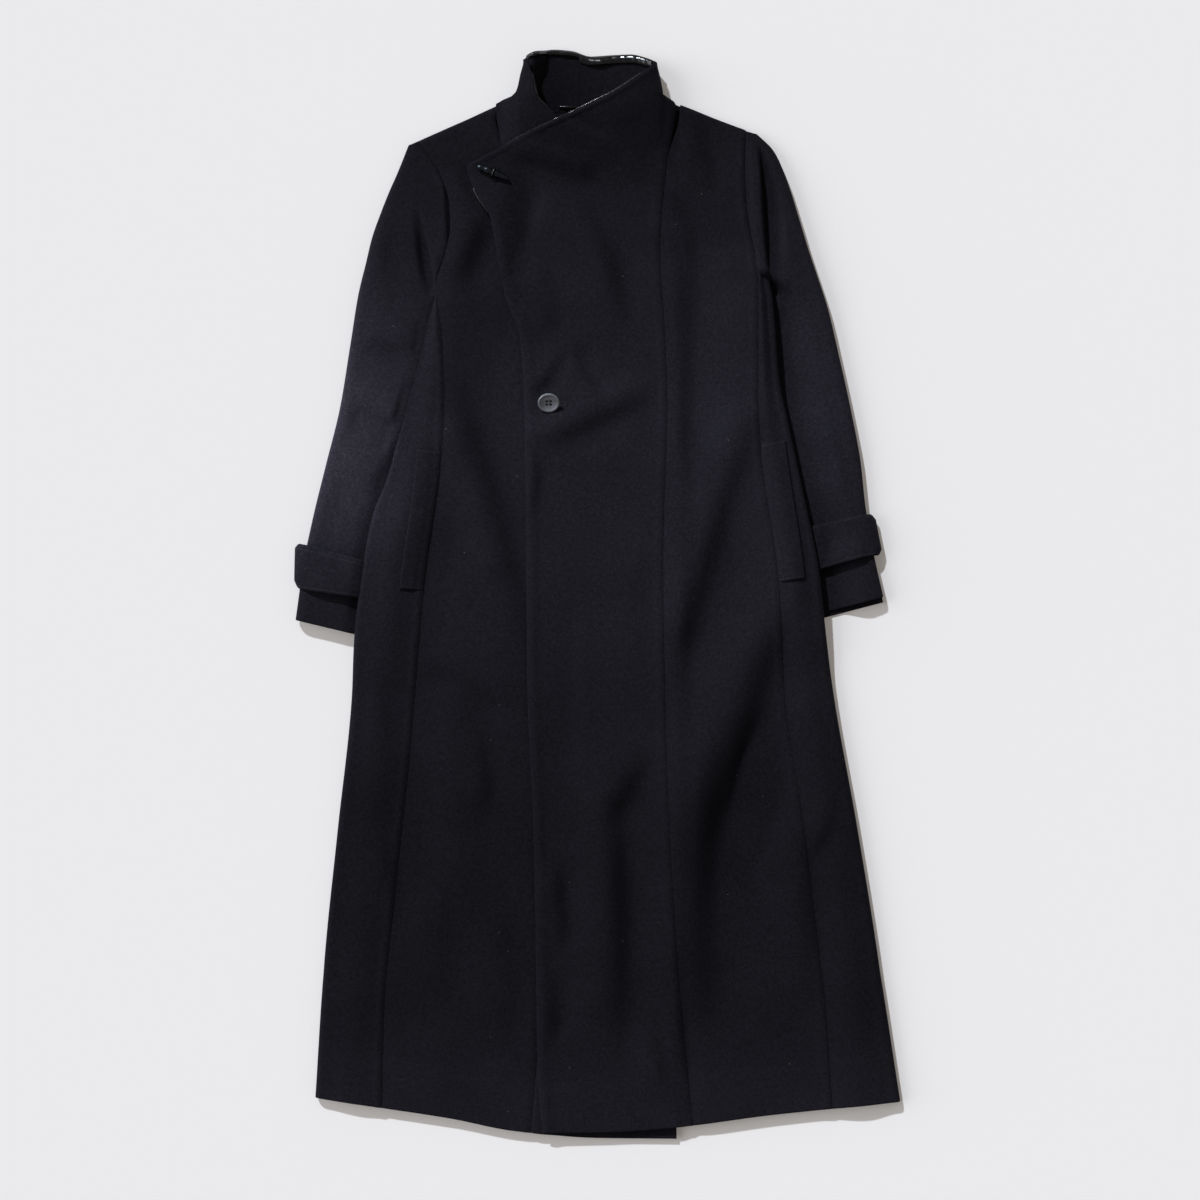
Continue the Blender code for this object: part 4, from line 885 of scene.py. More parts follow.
def front_grid(top, left, right, height, hem, edges, columns, tilt=no_tilt):
    level = mix(top, NOMINAL_HEM, with_rims(int((top - NOMINAL_HEM) / ROW_STEP), top - NOMINAL_HEM))[:, None]
    share = with_rims(columns, columns * COLUMN_STEP)[None, :]
    edge_left = left(level - tilt(level, 0.0)) - SEAM_LAP
    edge_right = right(level - tilt(level, 1.0)) + SEAM_LAP
    x = mix(edge_left, edge_right, share)
    y = to_hem(level - tilt(level, share), x, hem)
    z = height(x, y) + edges[0](x - edge_left) + edges[1](edge_right - x) + hem_band(x, y, hem)
    if tilt is not no_tilt:
        z = shoulder_roll(top - level, z)
    return np.stack((x, y, z), axis=-1)


def over_neck_edge(level):
    return princess(level) + OVER_WEDGE * smooth(WEDGE_START, WEDGE_FULL, level)


def under_neck_edge(level):
    open_wedge = smooth(WEDGE_START, WEDGE_FULL, level) - 2 * smooth(WEDGE_FULL, UNDER_SHOULDER[0], level)
    return under_princess(level) - UNDER_WEDGE * open_wedge


def make_fronts():
    grid = front_grid(UNDER_TOP, under_princess, under_edge, front_height, under_hem, (seam_edge, no_edge),
                      columns=44)
    cloth("under_front_centre", grid)
    grid = front_grid(UNDER_SHOULDER[0], left_seam, under_neck_edge, front_height, under_hem,
                      (lower_edge, seam_edge), columns=42, tilt=shoulder_tilt(*UNDER_SHOULDER, arm_share=0))
    cloth("under_front_side", grid)
    grid = front_grid(OVER_TOP, over_edge, princess, over_height, over_hem, (free_edge, pressed_edge),
                      columns=56)
    cloth("over_front_centre", grid)
    grid = front_grid(OVER_SHOULDER[0], over_neck_edge, right_seam, over_height, over_hem,
                      (lower_edge, pressed_edge), columns=42, tilt=shoulder_tilt(*OVER_SHOULDER, arm_share=1))
    cloth("over_front_side", grid)


make_fronts()

# %% [markdown]
# Each side panel runs from its front seam round the side to the back in one piece. Its section is a leg on top, a
# half round roll at the fold, and a leg underneath, which first lies on the tucked sleeve and then on the surface.

# %% Side panels
TOP_COLUMNS, ROLL_COLUMNS, LOW_COLUMNS = 26, 12, 22


class Side:
    """One side panel: its lines, its roll and the sleeve that it lies on."""

    def __init__(self, sign, seam, fold, lift, roll, sleeve, height, hem):
        self.sign, self.seam, self.fold = sign, seam, fold
        self.lift, self.roll = lift, roll
        self.height, self.hem = height, hem
        self.edge = pressed_edge if sign < 0 else lower_edge
        tucked = [Stop(row.in_y, row.in_x) for row in sleeve if row.in_y < ARMPIT]
        self.sleeve_edge = through(tucked, "across")

    def radius(self, level):
        return np.minimum(self.roll(level), ROLL_SHARE * np.abs(self.fold(level) - self.seam(level)))

    def turn(self, level):
        return self.fold(level) - self.sign * (self.radius(level) + HALF)

    def low(self, level):
        return BACK_MID + self.lift(level)

    def top_point(self, level, x):
        seam = self.seam(level)
        share = (x - seam) / (self.turn(level) - seam)
        y = to_hem(level, x, self.hem)
        top = self.low(level) + 2 * self.radius(level)
        z = mix(self.height(x, y), top, smooth(*ROLL_BLEND, share))
        z = z + self.edge(np.abs(x - seam)) + hem_band(x, y, self.hem) * (1 - smooth(*ROLL_BLEND, share))
        return np.stack((x, y, z), axis=-1)

    def roll_point(self, level, angle):
        x = self.turn(level) + self.sign * self.radius(level) * np.cos(angle)
        z = self.low(level) + self.radius(level) * (1 + np.sin(angle)) + 0 * x
        return np.stack((x, to_hem(level, x, self.hem), z), axis=-1)

    def low_point(self, level, x):
        clear = self.sign * (self.sleeve_edge(level) - x)
        z = BACK_MID + self.lift(level) * (1 - smooth(*SLEEVE_CLEAR, clear))
        return np.stack((x, to_hem(level, x, self.hem), z), axis=-1)

    def grid(self, top):
        long = top - NOMINAL_HEM
        level = mix(top, NOMINAL_HEM, with_rims(int(long / ROW_STEP), long))[:, None]
        seam = self.seam(level) - self.sign * SEAM_LAP
        turn = self.turn(level)
        behind = self.fold(level) - self.sign * SIDE_WIDTH_BEHIND
        first = with_rims(TOP_COLUMNS, TOP_COLUMNS * COLUMN_STEP)[None, :-RIMS - 1]
        last = with_rims(LOW_COLUMNS, LOW_COLUMNS * COLUMN_STEP)[None, RIMS + 1:]
        angle = math.pi * (0.5 - np.linspace(0, 1, ROLL_COLUMNS + 1))[None, :]
        return np.concatenate((self.top_point(level, mix(seam, turn, first)), self.roll_point(level, angle),
                               self.low_point(level, mix(turn, behind, last))), axis=1)


LEFT = Side(-1, left_seam, left_fold, left_lift, left_roll, LEFT_SLEEVE, front_height, under_hem)
RIGHT = Side(1, right_seam, right_fold, right_lift, right_roll, RIGHT_SLEEVE, over_height, over_hem)
SIDE_TOPS = {"left": 362.0, "right": 398.0}
cloth("side_left", LEFT.grid(SIDE_TOPS["left"]))
cloth("side_right", RIGHT.grid(SIDE_TOPS["right"]))

# %% [markdown]
# The two halves of the back lie flat on the surface, so they are plain. They show only at the neck, inside the hem
# and from below.

# %% Back
BACK_ROWS, BACK_COLUMNS, BACK_REPEATS = 60, 30, 6
BACK_WIDE, YOKE_LONG, BACK_LONG = 200.0, 200.0, 900.0
BACK_REACH = SIDE_WIDTH_BEHIND - 2 * SEAM_LAP


def back_top(x):
    """The back's upper edge: the straight neck line, and a shoulder line down to each arm."""
    left = (x - LEFT_NECK_POINT[0]) / (LEFT_ARM_POINT[0] - LEFT_NECK_POINT[0])
    right = (x - RIGHT_NECK_POINT[0]) / (RIGHT_ARM_POINT[0] - RIGHT_NECK_POINT[0])
    level = np.where(left > 0, mix(LEFT_NECK_POINT[1], LEFT_ARM_POINT[1], left), BACK_NECK)
    return np.where(right > 0, mix(RIGHT_NECK_POINT[1], RIGHT_ARM_POINT[1], right), level)


def back_grid(side, armpit):
    centre = BACK_CENTRE - side.sign * SEAM_LAP
    share = with_rims(BACK_COLUMNS, BACK_WIDE)[None, :]
    level = mix(BACK_NECK, armpit + BACK_STEP, with_rims(BACK_ROWS, YOKE_LONG)[:-RIMS - 1])[:, None]
    raised = (level - armpit) / (BACK_NECK - armpit)
    outer = side.seam(level)
    for repeat in range(BACK_REPEATS):
        y = level - raised * (BACK_NECK - back_top(outer))
        behind = side.fold(level) - side.sign * BACK_REACH
        arm = side.seam(y)
        outer = mix(behind, arm, smooth(armpit + BACK_STEP, armpit + BACK_CURVE, level))
    x = mix(centre, outer, share)
    upper = np.stack((x, level - raised * (BACK_NECK - back_top(x)), BACK_MID + 0 * x), axis=-1)
    level = mix(armpit, NOMINAL_HEM, with_rims(BACK_ROWS * 2, BACK_LONG)[RIMS + 1:])[:, None]
    shorter = BACK_SHORTER * np.maximum(0.0, (HEM_FROM - level) / (HEM_FROM - NOMINAL_HEM))
    outer = side.fold(level + shorter) - side.sign * BACK_REACH
    x = mix(centre, outer, share)
    lower = np.stack((x, to_hem(level, x, side.hem) + shorter, BACK_MID + 0 * x), axis=-1)
    return np.concatenate((upper, lower))


cloth("back_left", back_grid(LEFT, LEFT_ARMPIT))
cloth("back_right", back_grid(RIGHT, RIGHT_ARMPIT))

# %% [markdown]
# The sleeves are flattened tubes in two pieces, an upper and an under sleeve that meet at half height along the
# outer edge. Near the body they are tucked flat under the side panel. The cuff straps go over the sleeve and round
# its outer edge in a small loose loop.

# %% Sleeves and cuff straps
SLEEVE_ROWS, SLEEVE_FLATS, SLEEVE_TURNS = 170, 60, 9
STRAP_ROWS, STRAP_FLATS, STRAP_TURNS = 14, 24, 18
SLEEVE_LENGTH, SLEEVE_WIDTH, SLEEVE_EDGE, STRAP_WIDTH, STRAP_END = 600.0, 110.0, 14.0, 45.0, 40.0
CREASE_START, CREASE_CLEAR, ARMHOLE_RISE, PUFF_WIDTH = 8.0, 20.0, 38.0, 26.0
ARM_ALLOWANCE, ARM_DIP, DIP_EDGE, ARM_WAVES = 6.0, 2.9, (-2.0, 1.0), 1.6
# A strap gapes at its lower edge, rises where it leaves the body and is rounded at its outer corners
STRAP_REACH, STRAP_GAPE, GAPE_ROWS = 70.0, 7.5, (0.35, 1.0)
STRAP_RISE, RISE_AT, RISE_END = 6.0, 0.17, 0.55
STRAP_CORNER, CORNER_ROWS = 5.0, 0.17
Tuck = namedtuple("Tuck", "settled sink rise_start rise_end puff")
# Under each side: the tuck's width where it is settled, and where the inner edge sinks to lie flat; where the sleeve
# rises out of it, from the panel's fold, level by level; and how far the sleeve swells beside that fold
LEFT_TUCK = Tuck(14.0, (6.0, 22.0), -28.0, ((400, -5), (200, -5), (130, 16), (-60, 16)),
                 ((400, 0), (360, 0.8), (345, 1.6), (300, 2.4), (222, 2.9), (180, 1.6), (140, 0), (-60, 0)))
RIGHT_TUCK = Tuck(30.0, (6.0, 16.0), 9.0, ((400, 48), (-60, 48)), ((400, 0), (-60, 0)))


class Sleeve:
    """One sleeve: a flattened tube, thin where it is tucked under the body."""

    def __init__(self, rows, armhole_height, longer_under, tuck, flanks, gutters):
        self.last = len(rows) - 1
        self.armhole_height, self.longer_under = armhole_height, longer_under
        self.flanks, self.gutters = flanks, gutters
        self.settled, self.sink, self.rise_start = tuck.settled, tuck.sink, tuck.rise_start
        self.rise_end = through([Stop(*row) for row in tuck.rise_end], "across")
        self.puff = through([Stop(*row) for row in tuck.puff], "across")
        self.columns = {}
        for column in SleeveRow._fields:
            stops = [Stop(k, getattr(row, column)) for k, row in enumerate(rows)]
            self.columns[column] = through(stops, "across")

    def at(self, column, place):
        return self.columns[column](place)

    def frame(self, place):
        """A section's inner end, its direction across and its width."""
        in_x, in_y = self.at("in_x", place), self.at("in_y", place)
        run_x, run_y = self.at("out_x", place) - in_x, self.at("out_y", place) - in_y
        width = np.hypot(run_x, run_y)
        run_x, run_y = run_x / width, run_y / width
        return in_x + run_x * ARMHOLE_GAP, in_y + run_y * ARMHOLE_GAP, run_x, run_y, width - ARMHOLE_GAP

    def radius(self, place):
        return self.at("height", place) / 2 - HALF

    def flat_end(self, place):
        return self.frame(place)[4] - HALF - self.radius(place)

    def point(self, place, out, z):
        in_x, in_y, run_x, run_y, width = self.frame(place)
        return np.stack(np.broadcast_arrays(in_x + run_x * out, in_y + run_y * out, z), axis=-1)

    def top(self, place, out):
        """Height of the upper sleeve's middle, out from the section's inner end."""
        tuck = self.at("tuck", place)
        in_x, in_y, run_x, run_y, width = self.frame(place)
        low = mix(self.armhole_height(in_x, in_y), TUCKED_MID, smooth(*self.sink, tuck))
        tucked = smooth(0.0, self.settled, tuck)
        start = tuck + self.rise_start * tucked
        end = np.minimum(tuck + mix(ARMHOLE_RISE, self.rise_end(in_y), tucked), self.flat_end(place))
        swell = self.puff(in_y) * np.exp(-((out - tuck) / PUFF_WIDTH) ** 2)
        z = mix(low, self.at("height", place) - HALF + swell, smooth(np.minimum(start, end - 1), end, out))
        free = 1 - smooth(self.flat_end(place) - CREASE_CLEAR, self.flat_end(place), out)
        x, y = in_x + run_x * out, in_y + run_y * out
        z = z - ARM_DIP * (1 - smooth(*DIP_EDGE, out)) * (1 - smooth(*self.sink, tuck))
        loose = crease_height(x, y, self.flanks) + ARM_WAVES * slow_waves(x, y)
        loose = loose * smooth(0, CREASE_START, out - tuck)
        return z + free * (loose + gutter_height(x, y, self.gutters))

    def rolled(self, place, way):
        """The round outer edge, from above or from below to the seam at half height."""
        radius, middle = self.radius(place), self.at("height", place) / 2
        share = with_rims(SLEEVE_TURNS, SLEEVE_EDGE)[None, RIMS + 1:]
        angle = mix(math.pi / 2, np.arcsin(SLEEVE_SEAM_GAP / 2 / radius), share)
        out = self.flat_end(place) + radius * np.cos(angle)
        return self.point(place, out, middle + way * radius * np.sin(angle))

    def places(self):
        return self.last * with_rims(SLEEVE_ROWS, SLEEVE_LENGTH)[:, None]

    def upper_grid(self):
        place = self.places()
        out = mix(-ARM_ALLOWANCE, self.flat_end(place), with_rims(SLEEVE_FLATS, SLEEVE_WIDTH)[None, :-RIMS])
        flat = self.point(place, out, self.top(place, out))
        return np.concatenate((flat, self.rolled(place, 1)), axis=1)

    def under_grid(self):
        place = self.places()
        out = self.flat_end(place) * with_rims(SLEEVE_FLATS, SLEEVE_WIDTH)[None, :-RIMS]
        grid = np.concatenate((self.point(place, out, HALF), self.rolled(place, -1)), axis=1)
        grid[:, :, 1] -= self.longer_under * smooth(self.last - 1.0, self.last, place)
        return grid

    def strap_grid(self, strap):
        """Across the cuff: from under the body, over the sleeve and round its outer edge."""
        down = with_rims(STRAP_ROWS, STRAP_WIDTH)[:, None]
        along = with_rims(STRAP_FLATS, STRAP_REACH)[None, :-RIMS - 1]
        place = mix(mix(*strap.under, down), mix(*strap.outer, down), along)
        off = HALF + STRAP_STAND + STRAP_THICK / 2
        out = mix(self.at("tuck", place) - STRAP_UNDER_BODY, self.flat_end(place), along)
        gape = STRAP_GAPE * smooth(*GAPE_ROWS, down) * np.sqrt(np.sin(math.pi * along))
        rise = STRAP_RISE * smooth(0.0, RISE_AT, along) * (1 - smooth(RISE_AT, RISE_END, along))
        over = self.point(place, out, self.top(place, out) + off + np.maximum(gape, rise))
        place = mix(*strap.outer, down)
        end = self.flat_end(place)
        corner = STRAP_CORNER * (1 - smooth(0.0, CORNER_ROWS, np.minimum(down, 1 - down))) ** 2
        middle, wide = self.at("height", place) / 2, self.radius(place) + off + mix(*strap.loop, down) - corner
        angle = mix(math.pi / 2, STRAP_END_ANGLE, with_rims(STRAP_TURNS, STRAP_END)[None, RIMS:])
        tall = np.where(angle > 0, self.radius(place) + off, middle - STRAP_LOW)
        round_end = self.point(place, end + wide * np.cos(angle), middle + tall * np.sin(angle))
        return np.concatenate((over, round_end), axis=1)


LEFT_ARM = Sleeve(LEFT_SLEEVE, front_height, 0.0, LEFT_TUCK, LEFT_ARM_FLANKS, LEFT_GUTTERS)
RIGHT_ARM = Sleeve(RIGHT_SLEEVE, over_height, RIGHT_CUFF_SHOW, RIGHT_TUCK, RIGHT_ARM_FLANKS, RIGHT_GUTTERS)
ARMS = (("left", LEFT_ARM, LEFT_STRAP), ("right", RIGHT_ARM, RIGHT_STRAP))
for side, arm, strap in ARMS:
    cloth("sleeve_under_" + side, arm.under_grid())
    cloth("sleeve_upper_" + side, arm.upper_grid())
    cloth("cuff_strap_" + side, arm.strap_grid(strap), STRAP_THICK)

# %% [markdown]
# The pocket welts are folded strips laid on the side panels beside their seams. They take the panel's own points and
# move out from them.

# %% Pocket welts
WELT_ROWS, WELT_COLUMNS, WELT_LIFT = 52, 14, 0.5


def moved_up(grid, distance):
    square = unit(np.cross(np.gradient(grid, axis=1), np.gradient(grid, axis=0)))
    square *= np.sign(square[:, :, 2:])
    return grid + square * distance


def welt_grid(side, top, bottom, rise, sink, turned):
    level = mix(top, bottom, with_rims(WELT_ROWS, top - bottom))[:, None]
    across = WELT_INSET + WELT_WIDTH * with_rims(WELT_COLUMNS, WELT_WIDTH)[None, :]
    level = level + rise * across
    grid = side.top_point(level, side.seam(level - rise * across) + side.sign * across)
    sunk = sink * (1 - smooth(*turned, across))[..., None]
    return moved_up(grid, HALF + WELT_LIFT + WELT_THICK / 2 - sunk)


WELTS = {"left": welt_grid(LEFT, *LEFT_WELT), "right": welt_grid(RIGHT, *RIGHT_WELT)}
for side, grid in WELTS.items():
    cloth("welt_" + side, grid, WELT_THICK)

# %% [markdown]
# The back collar stands up behind the neck in two halves, with a seam between them. A band of glossy leather binds
# the inside of its top edge: deep and wrinkled on one half, narrow on the other.

# %% Back collar and its leather band
COLLAR_ROWS, COLLAR_COLUMNS, COLLAR_TALL, COLLAR_WIDE = 26, 34, 65.0, 100.0
BAND_ROWS, BAND_COLUMNS, BAND_TALL, BAND_WIDE = 8, 46, 12.0, 80.0
BAND_SHARES = {"left": 0.09, "right": 0.16}
WRINKLE_HEIGHT, WRINKLE_PITCH, WRINKLE_SLANT, BAND_BULGE = 0.45, 7.5, 0.35, 1.8
# How the wrinkles come and go along a band
WRINKLE_SWELL, WRINKLE_START = 0.21, 1.3
# Where each band lifts its lower edge and catches the light
BAND_GLINTS, GLINT_WIDTH, GLINT_SLOPE = {"left": -36.0, "right": 4.0}, 12.0, 0.42


def collar_half(sign, rows, columns, low, high, outer):
    side = through(COLLAR_SIDES, "left" if sign < 0 else "right", by="share")
    start = COLLAR_SEAM - sign * SEAM_LAP
    share_up = mix(low, high, rows)[:, None]
    limit = mix(COLLAR_SEAM, side(share_up), outer)
    x = mix(start, limit, np.sin(columns * math.pi / 2)[None, :])
    y = mix(BACK_NECK - SEAM_LAP, collar_top(x), share_up)
    return np.stack((x, y, collar_back_height(x, y)), axis=-1)


def make_collar():
    off = HALF + SEAM + BINDING_THICK / 2
    rows, columns = with_rims(COLLAR_ROWS, COLLAR_TALL), with_rims(COLLAR_COLUMNS, COLLAR_WIDE)
    band_rows, band_columns = with_rims(BAND_ROWS, BAND_TALL), with_rims(BAND_COLUMNS, BAND_WIDE)
    for side, sign in (("left", -1), ("right", 1)):
        cloth("collar_back_" + side, collar_half(sign, rows, columns, 0.0, 1.0, 1.0))
        band = collar_half(sign, band_rows, band_columns, 1 - BAND_SHARES[side], BINDING_TOP, BINDING_REACH)
        wrinkles = np.sin(band[:, :, 0] * 2 * math.pi / WRINKLE_PITCH + band[:, :, 1] * WRINKLE_SLANT)
        wrinkles *= np.sin(band[:, :, 0] * WRINKLE_SWELL + WRINKLE_START)
        lifted = np.exp(-((band[:, :, 0] - BAND_GLINTS[side]) / GLINT_WIDTH) ** 2)
        down = band[-1:, :, 1] - band[:, :, 1]
        band = moved_up(band, off)
        rounded = BAND_BULGE * (1 - (2 * band_rows[:, None] - 1) ** 2)
        band[:, :, 2] += WRINKLE_HEIGHT * wrinkles + GLINT_SLOPE * lifted * down + rounded
        made = shell_mesh("coat_binding_back_" + side, band, BINDING_THICK, "leather")
        stand_for(made, "binding_back_" + side)
    print("collar halves and leather bands: 4")


make_collar()

# %% [markdown]
# A thin leather piping runs along the diagonal edge of the collar, along the lapel below the toggle and along the
# under collar. A round bar follows the edge of its panel. The hanger loop at the back of the neck is a flat strip.

# %% Piping and hanger loop
PIPING_STEP, PIPING_SIDES, HANGER_ROWS, HANGER_COLUMNS = 2.0, 10, 26, 6
PIPING_LEAST, PIPING_SINK = 0.1, 0.7
PIPING_TIP, PIPING_TAPER, PIPING_DIVE, PIPING_HIDE = 0.3, 9.0, 1.6, 2.0
HANGER_TILT = 0.5


def tube_mesh(name, path, radii, look, sides, square=None):
    """A round bar along a path of points, with a radius at each and closed ends."""
    path = np.array(path, float)
    along = unit(np.gradient(path, axis=0))
    up = np.array((0.0, 0.0, 1.0)) if square is None else square
    aside = unit(np.cross(along, up))
    over = np.cross(aside, along)
    turn = 2 * math.pi * np.arange(sides) / sides
    ring = np.cos(turn)[None, :, None] * aside[:, None, :] + np.sin(turn)[None, :, None] * over[:, None, :]
    points = (path[:, None, :] + np.array(radii)[:, None, None] * ring).reshape(-1, 3)
    faces = []
    for row in range(len(path) - 1):
        for k in range(sides):
            here, there = row * sides + k, row * sides + (k + 1) % sides
            faces.append([here, here + sides, there + sides, there])
    faces.append(list(range(sides)))
    faces.append([(len(path) - 1) * sides + k for k in range(sides - 1, -1, -1)])
    return add_piece(name, points, faces, look)


def piping(node, edge, height, outward, top, bottom, shine, reach):
    """A round bar half hidden under an edge. It comes out furthest at the level where it shines."""
    levels = np.arange(top, bottom, -PIPING_STEP)
    line = np.stack((edge(levels) - outward * SEAM / 2, levels), axis=-1)
    run = np.gradient(line, axis=0)
    aside = unit(np.stack((-run[:, 1], run[:, 0]), axis=1) * outward)
    out = smooth(0.0, PIPING_TAPER, np.minimum(levels[0] - levels, levels - levels[-1]))
    shown = PIPING_LEAST + (1 - PIPING_LEAST) * np.exp(-((levels - shine) / reach) ** 2)
    flat = line + aside * (PIPING_RADIUS * mix(-PIPING_HIDE, shown, out))[:, None]
    path = np.column_stack((flat, height(line[:, 0], line[:, 1]) - PIPING_SINK - PIPING_DIVE * (1 - out)))
    radii = PIPING_RADIUS * mix(PIPING_TIP, 1.0, out)
    made = tube_mesh("coat_" + node, path, radii, "leather", PIPING_SIDES)
    stand_for(made, node)


def make_hanger():
    share = with_rims(HANGER_ROWS, HANGER_ACROSS[1] - HANGER_ACROSS[0])[:, None]
    x = mix(*HANGER_ACROSS, share)
    y = HANGER_LEVEL + HANGER_WIDTH * (with_rims(HANGER_COLUMNS, HANGER_WIDTH)[None, :] - 0.5)
    x, y = np.broadcast_arrays(x, y)
    z = collar_back_height(x, y) + HALF + SEAM + BINDING_THICK / 2 + HANGER_BOW * np.sin(math.pi * share)
    z = z + HANGER_TILT * (y - HANGER_LEVEL)
    made = shell_mesh("coat_hanger_loop", np.stack((x, y, z), axis=-1), BINDING_THICK, "leather")
    stand_for(made, "hanger_loop")


piping("binding_over_collar", over_edge, over_height, -1, *OVER_PIPING)
piping("binding_front_edge", over_edge, over_height, -1, *EDGE_PIPING)
piping("binding_under_collar", under_edge, front_height, 1, *UNDER_PIPING)
make_hanger()
print("piping and hanger loop: 4")

# %% [markdown]
# The button is turned: a rounded rim round a shallow well, with four holes cut through it. It sits tilted on the
# cloth, as the pull of the wrap leaves it. The toggle is a polished spindle held by a small leather loop.

# %% Button, toggle and its loop
BUTTON_SIDES, HOLE_SIDES, TOGGLE_RINGS, TOGGLE_SIDES = 64, 20, 40, 24
BUTTON_LIFT, SEAT_POINTS, SHARP_ANGLE = 1.5, 24, math.radians(50.0)
HOLES, DRILL_FROM, DRILL_TO = 4, -2.0, 8.0
TOGGLE_UNEVEN, TOGGLE_WAVES, TOGGLE_CALM = 0.32, 24.0, 4
TOGGLE_POINTED, TOGGLE_TIP, WAIST_REACH = 2.5, 0.55, 0.2
LOOP_POINTS, LOOP_SIDES = 33, 12


def turned_mesh(name, profile, sides):
    turn = 2 * math.pi * np.arange(sides) / sides
    points = [(radius * math.cos(a), radius * math.sin(a), height) for radius, height in profile for a in turn]
    faces = []
    for row in range(len(profile) - 1):
        for k in range(sides):
            here, there = row * sides + k, row * sides + (k + 1) % sides
            faces.append([here, there, there + sides, here + sides])
    faces.append(list(range(sides - 1, -1, -1)))
    faces.append([(len(profile) - 1) * sides + k for k in range(sides)])
    mesh = bpy.data.meshes.new(name)
    mesh.from_pydata((np.array(points) * MM).tolist(), [], faces)
    made = bpy.data.objects.new(name, mesh)
    bpy.context.scene.collection.objects.link(made)
    return made


def make_button():
    x, y = BUTTON_CENTRE
    ring = 2 * math.pi * np.arange(SEAT_POINTS) / SEAT_POINTS
    aside, ahead = BUTTON_FOOT * np.cos(ring), BUTTON_FOOT * np.sin(ring)
    seat = (over_height(x + aside, y + ahead) - ahead * math.sin(BUTTON_TILT)).max() + HALF + BUTTON_LIFT * SEAM
    blank = turned_mesh("button_blank", BUTTON_PROFILE, BUTTON_SIDES)
    drills, holes = [], []
    for k in range(HOLES):
        turn = math.pi / 4 + k * math.pi / 2
        holes.append(HOLE_PLACE * np.array((math.cos(turn), math.sin(turn))))
        drill = turned_mesh("drill_%d" % k, ((HOLE_RADIUS, DRILL_FROM), (HOLE_RADIUS, DRILL_TO)), HOLE_SIDES)
        drill.location = (*(holes[k] * MM), 0.0)
        cut = blank.modifiers.new("hole_%d" % k, "BOOLEAN")
        cut.operation, cut.object = "DIFFERENCE", drill
        drills.append(drill)
    graph = bpy.context.evaluated_depsgraph_get()
    mesh = bpy.data.meshes.new_from_object(blank.evaluated_get(graph))
    for spare in drills + [blank]:
        bpy.data.objects.remove(spare)
    mesh.materials.clear()
    mesh.materials.append(LOOKS["horn"])
    # Painted shade: the walls of the four holes take the black thread's finish, so the holes read dark like their
    # shaded inside
    mesh.materials.append(LOOKS["thread"])
    for face in mesh.polygons:
        across = np.array(face.center[:2]) / MM
        nearest = min(math.hypot(*(across - spot)) for spot in holes)
        face.material_index = int(nearest < HOLE_RADIUS)
    tilt = np.array(((1, 0, 0), (0, math.cos(BUTTON_TILT), -math.sin(BUTTON_TILT)),
                     (0, math.sin(BUTTON_TILT), math.cos(BUTTON_TILT))))
    place = np.array((x, y, seat))
    for spot in mesh.vertices:
        spot.co = (tilt @ np.array(spot.co) + (place - CENTRE) * MM).tolist()
    mesh.name = "coat_button"
    mesh.shade_smooth()
    mesh.set_sharp_from_angle(angle=SHARP_ANGLE)
    button = bpy.data.objects.new("coat_button", mesh)
    bpy.context.scene.collection.objects.link(button)
    stand_for(button, "button")
    print("button seat: %.1f mm, holes: %d" % (seat, HOLES))


def make_toggle():
    start, end = np.array(TOGGLE_START), np.array(TOGGLE_END)
    along = (end - start) / np.linalg.norm(end - start)
    share = np.linspace(0, 1, TOGGLE_RINGS + 1)
    line = mix(start, end, share[:, None])
    z = over_height(line[:, 0], line[:, 1]).max() + HALF + SEAM + TOGGLE_RADIUS
    away = np.abs(np.linspace(-1, 1, TOGGLE_RINGS + 1))
    waist = TOGGLE_WAIST * (1 - smooth(0.0, WAIST_REACH, away))
    radii = TOGGLE_RADIUS * (1 - TOGGLE_TAPER * away ** TOGGLE_POINTED) - waist
    radii += TOGGLE_UNEVEN * np.sin(TOGGLE_WAVES * share) * (1 - away ** TOGGLE_CALM)
    radii[[0, -1]] *= TOGGLE_TIP
    path = np.column_stack((line, np.full(len(line), z)))
    toggle = tube_mesh("coat_toggle", path, radii, "black horn", TOGGLE_SIDES)
    stand_for(toggle, "toggle")
    reach = TOGGLE_RADIUS + SEAM + LOOP_RADIUS
    angle = mix(*LOOP_ANGLES, np.linspace(0, 1, LOOP_POINTS))
    aside = np.array((-along[1], along[0]))
    middle = (start + end) / 2
    flat = middle + aside * (reach * np.cos(angle))[:, None]
    path = np.column_stack((flat, z + reach * np.sin(angle)))
    loop = tube_mesh("coat_toggle_loop", path, [LOOP_RADIUS] * len(path), "leather", LOOP_SIDES,
                     np.array((*along, 0.0)))
    stand_for(loop, "toggle_loop")
    print("toggle height: %.1f mm" % z)


make_button()
make_toggle()

# %% [markdown]
# The sewing is one small Geometry Nodes tree. It takes a line on the cloth, marks points along it a stitch apart, and
# puts one short thread on each, turned along the line. The same tree sews the welts, the straps and the
# keyhole buttonhole; only its sizes change.

# %% Sewing
STITCH_LENGTH, STITCH_RADIUS, STITCH_PITCH = 2.2, 0.32, 3.0
# How far inside their rims the welts and the straps are sewn
WELT_SEWN, STRAP_SEWN = 3.2, 4.0
BUTTONHOLE_EYE, BUTTONHOLE_RADIUS, BUTTONHOLE_SLIT = (-40.5, 229.5), 2.6, 9.0
BUTTONHOLE_TURN, EYE_POINTS, SLIT_POINTS = 150, 25, 7
# Its stitches: pitch, length and radius
BUTTONHOLE_STITCH = (0.8, 1.0, 0.5)


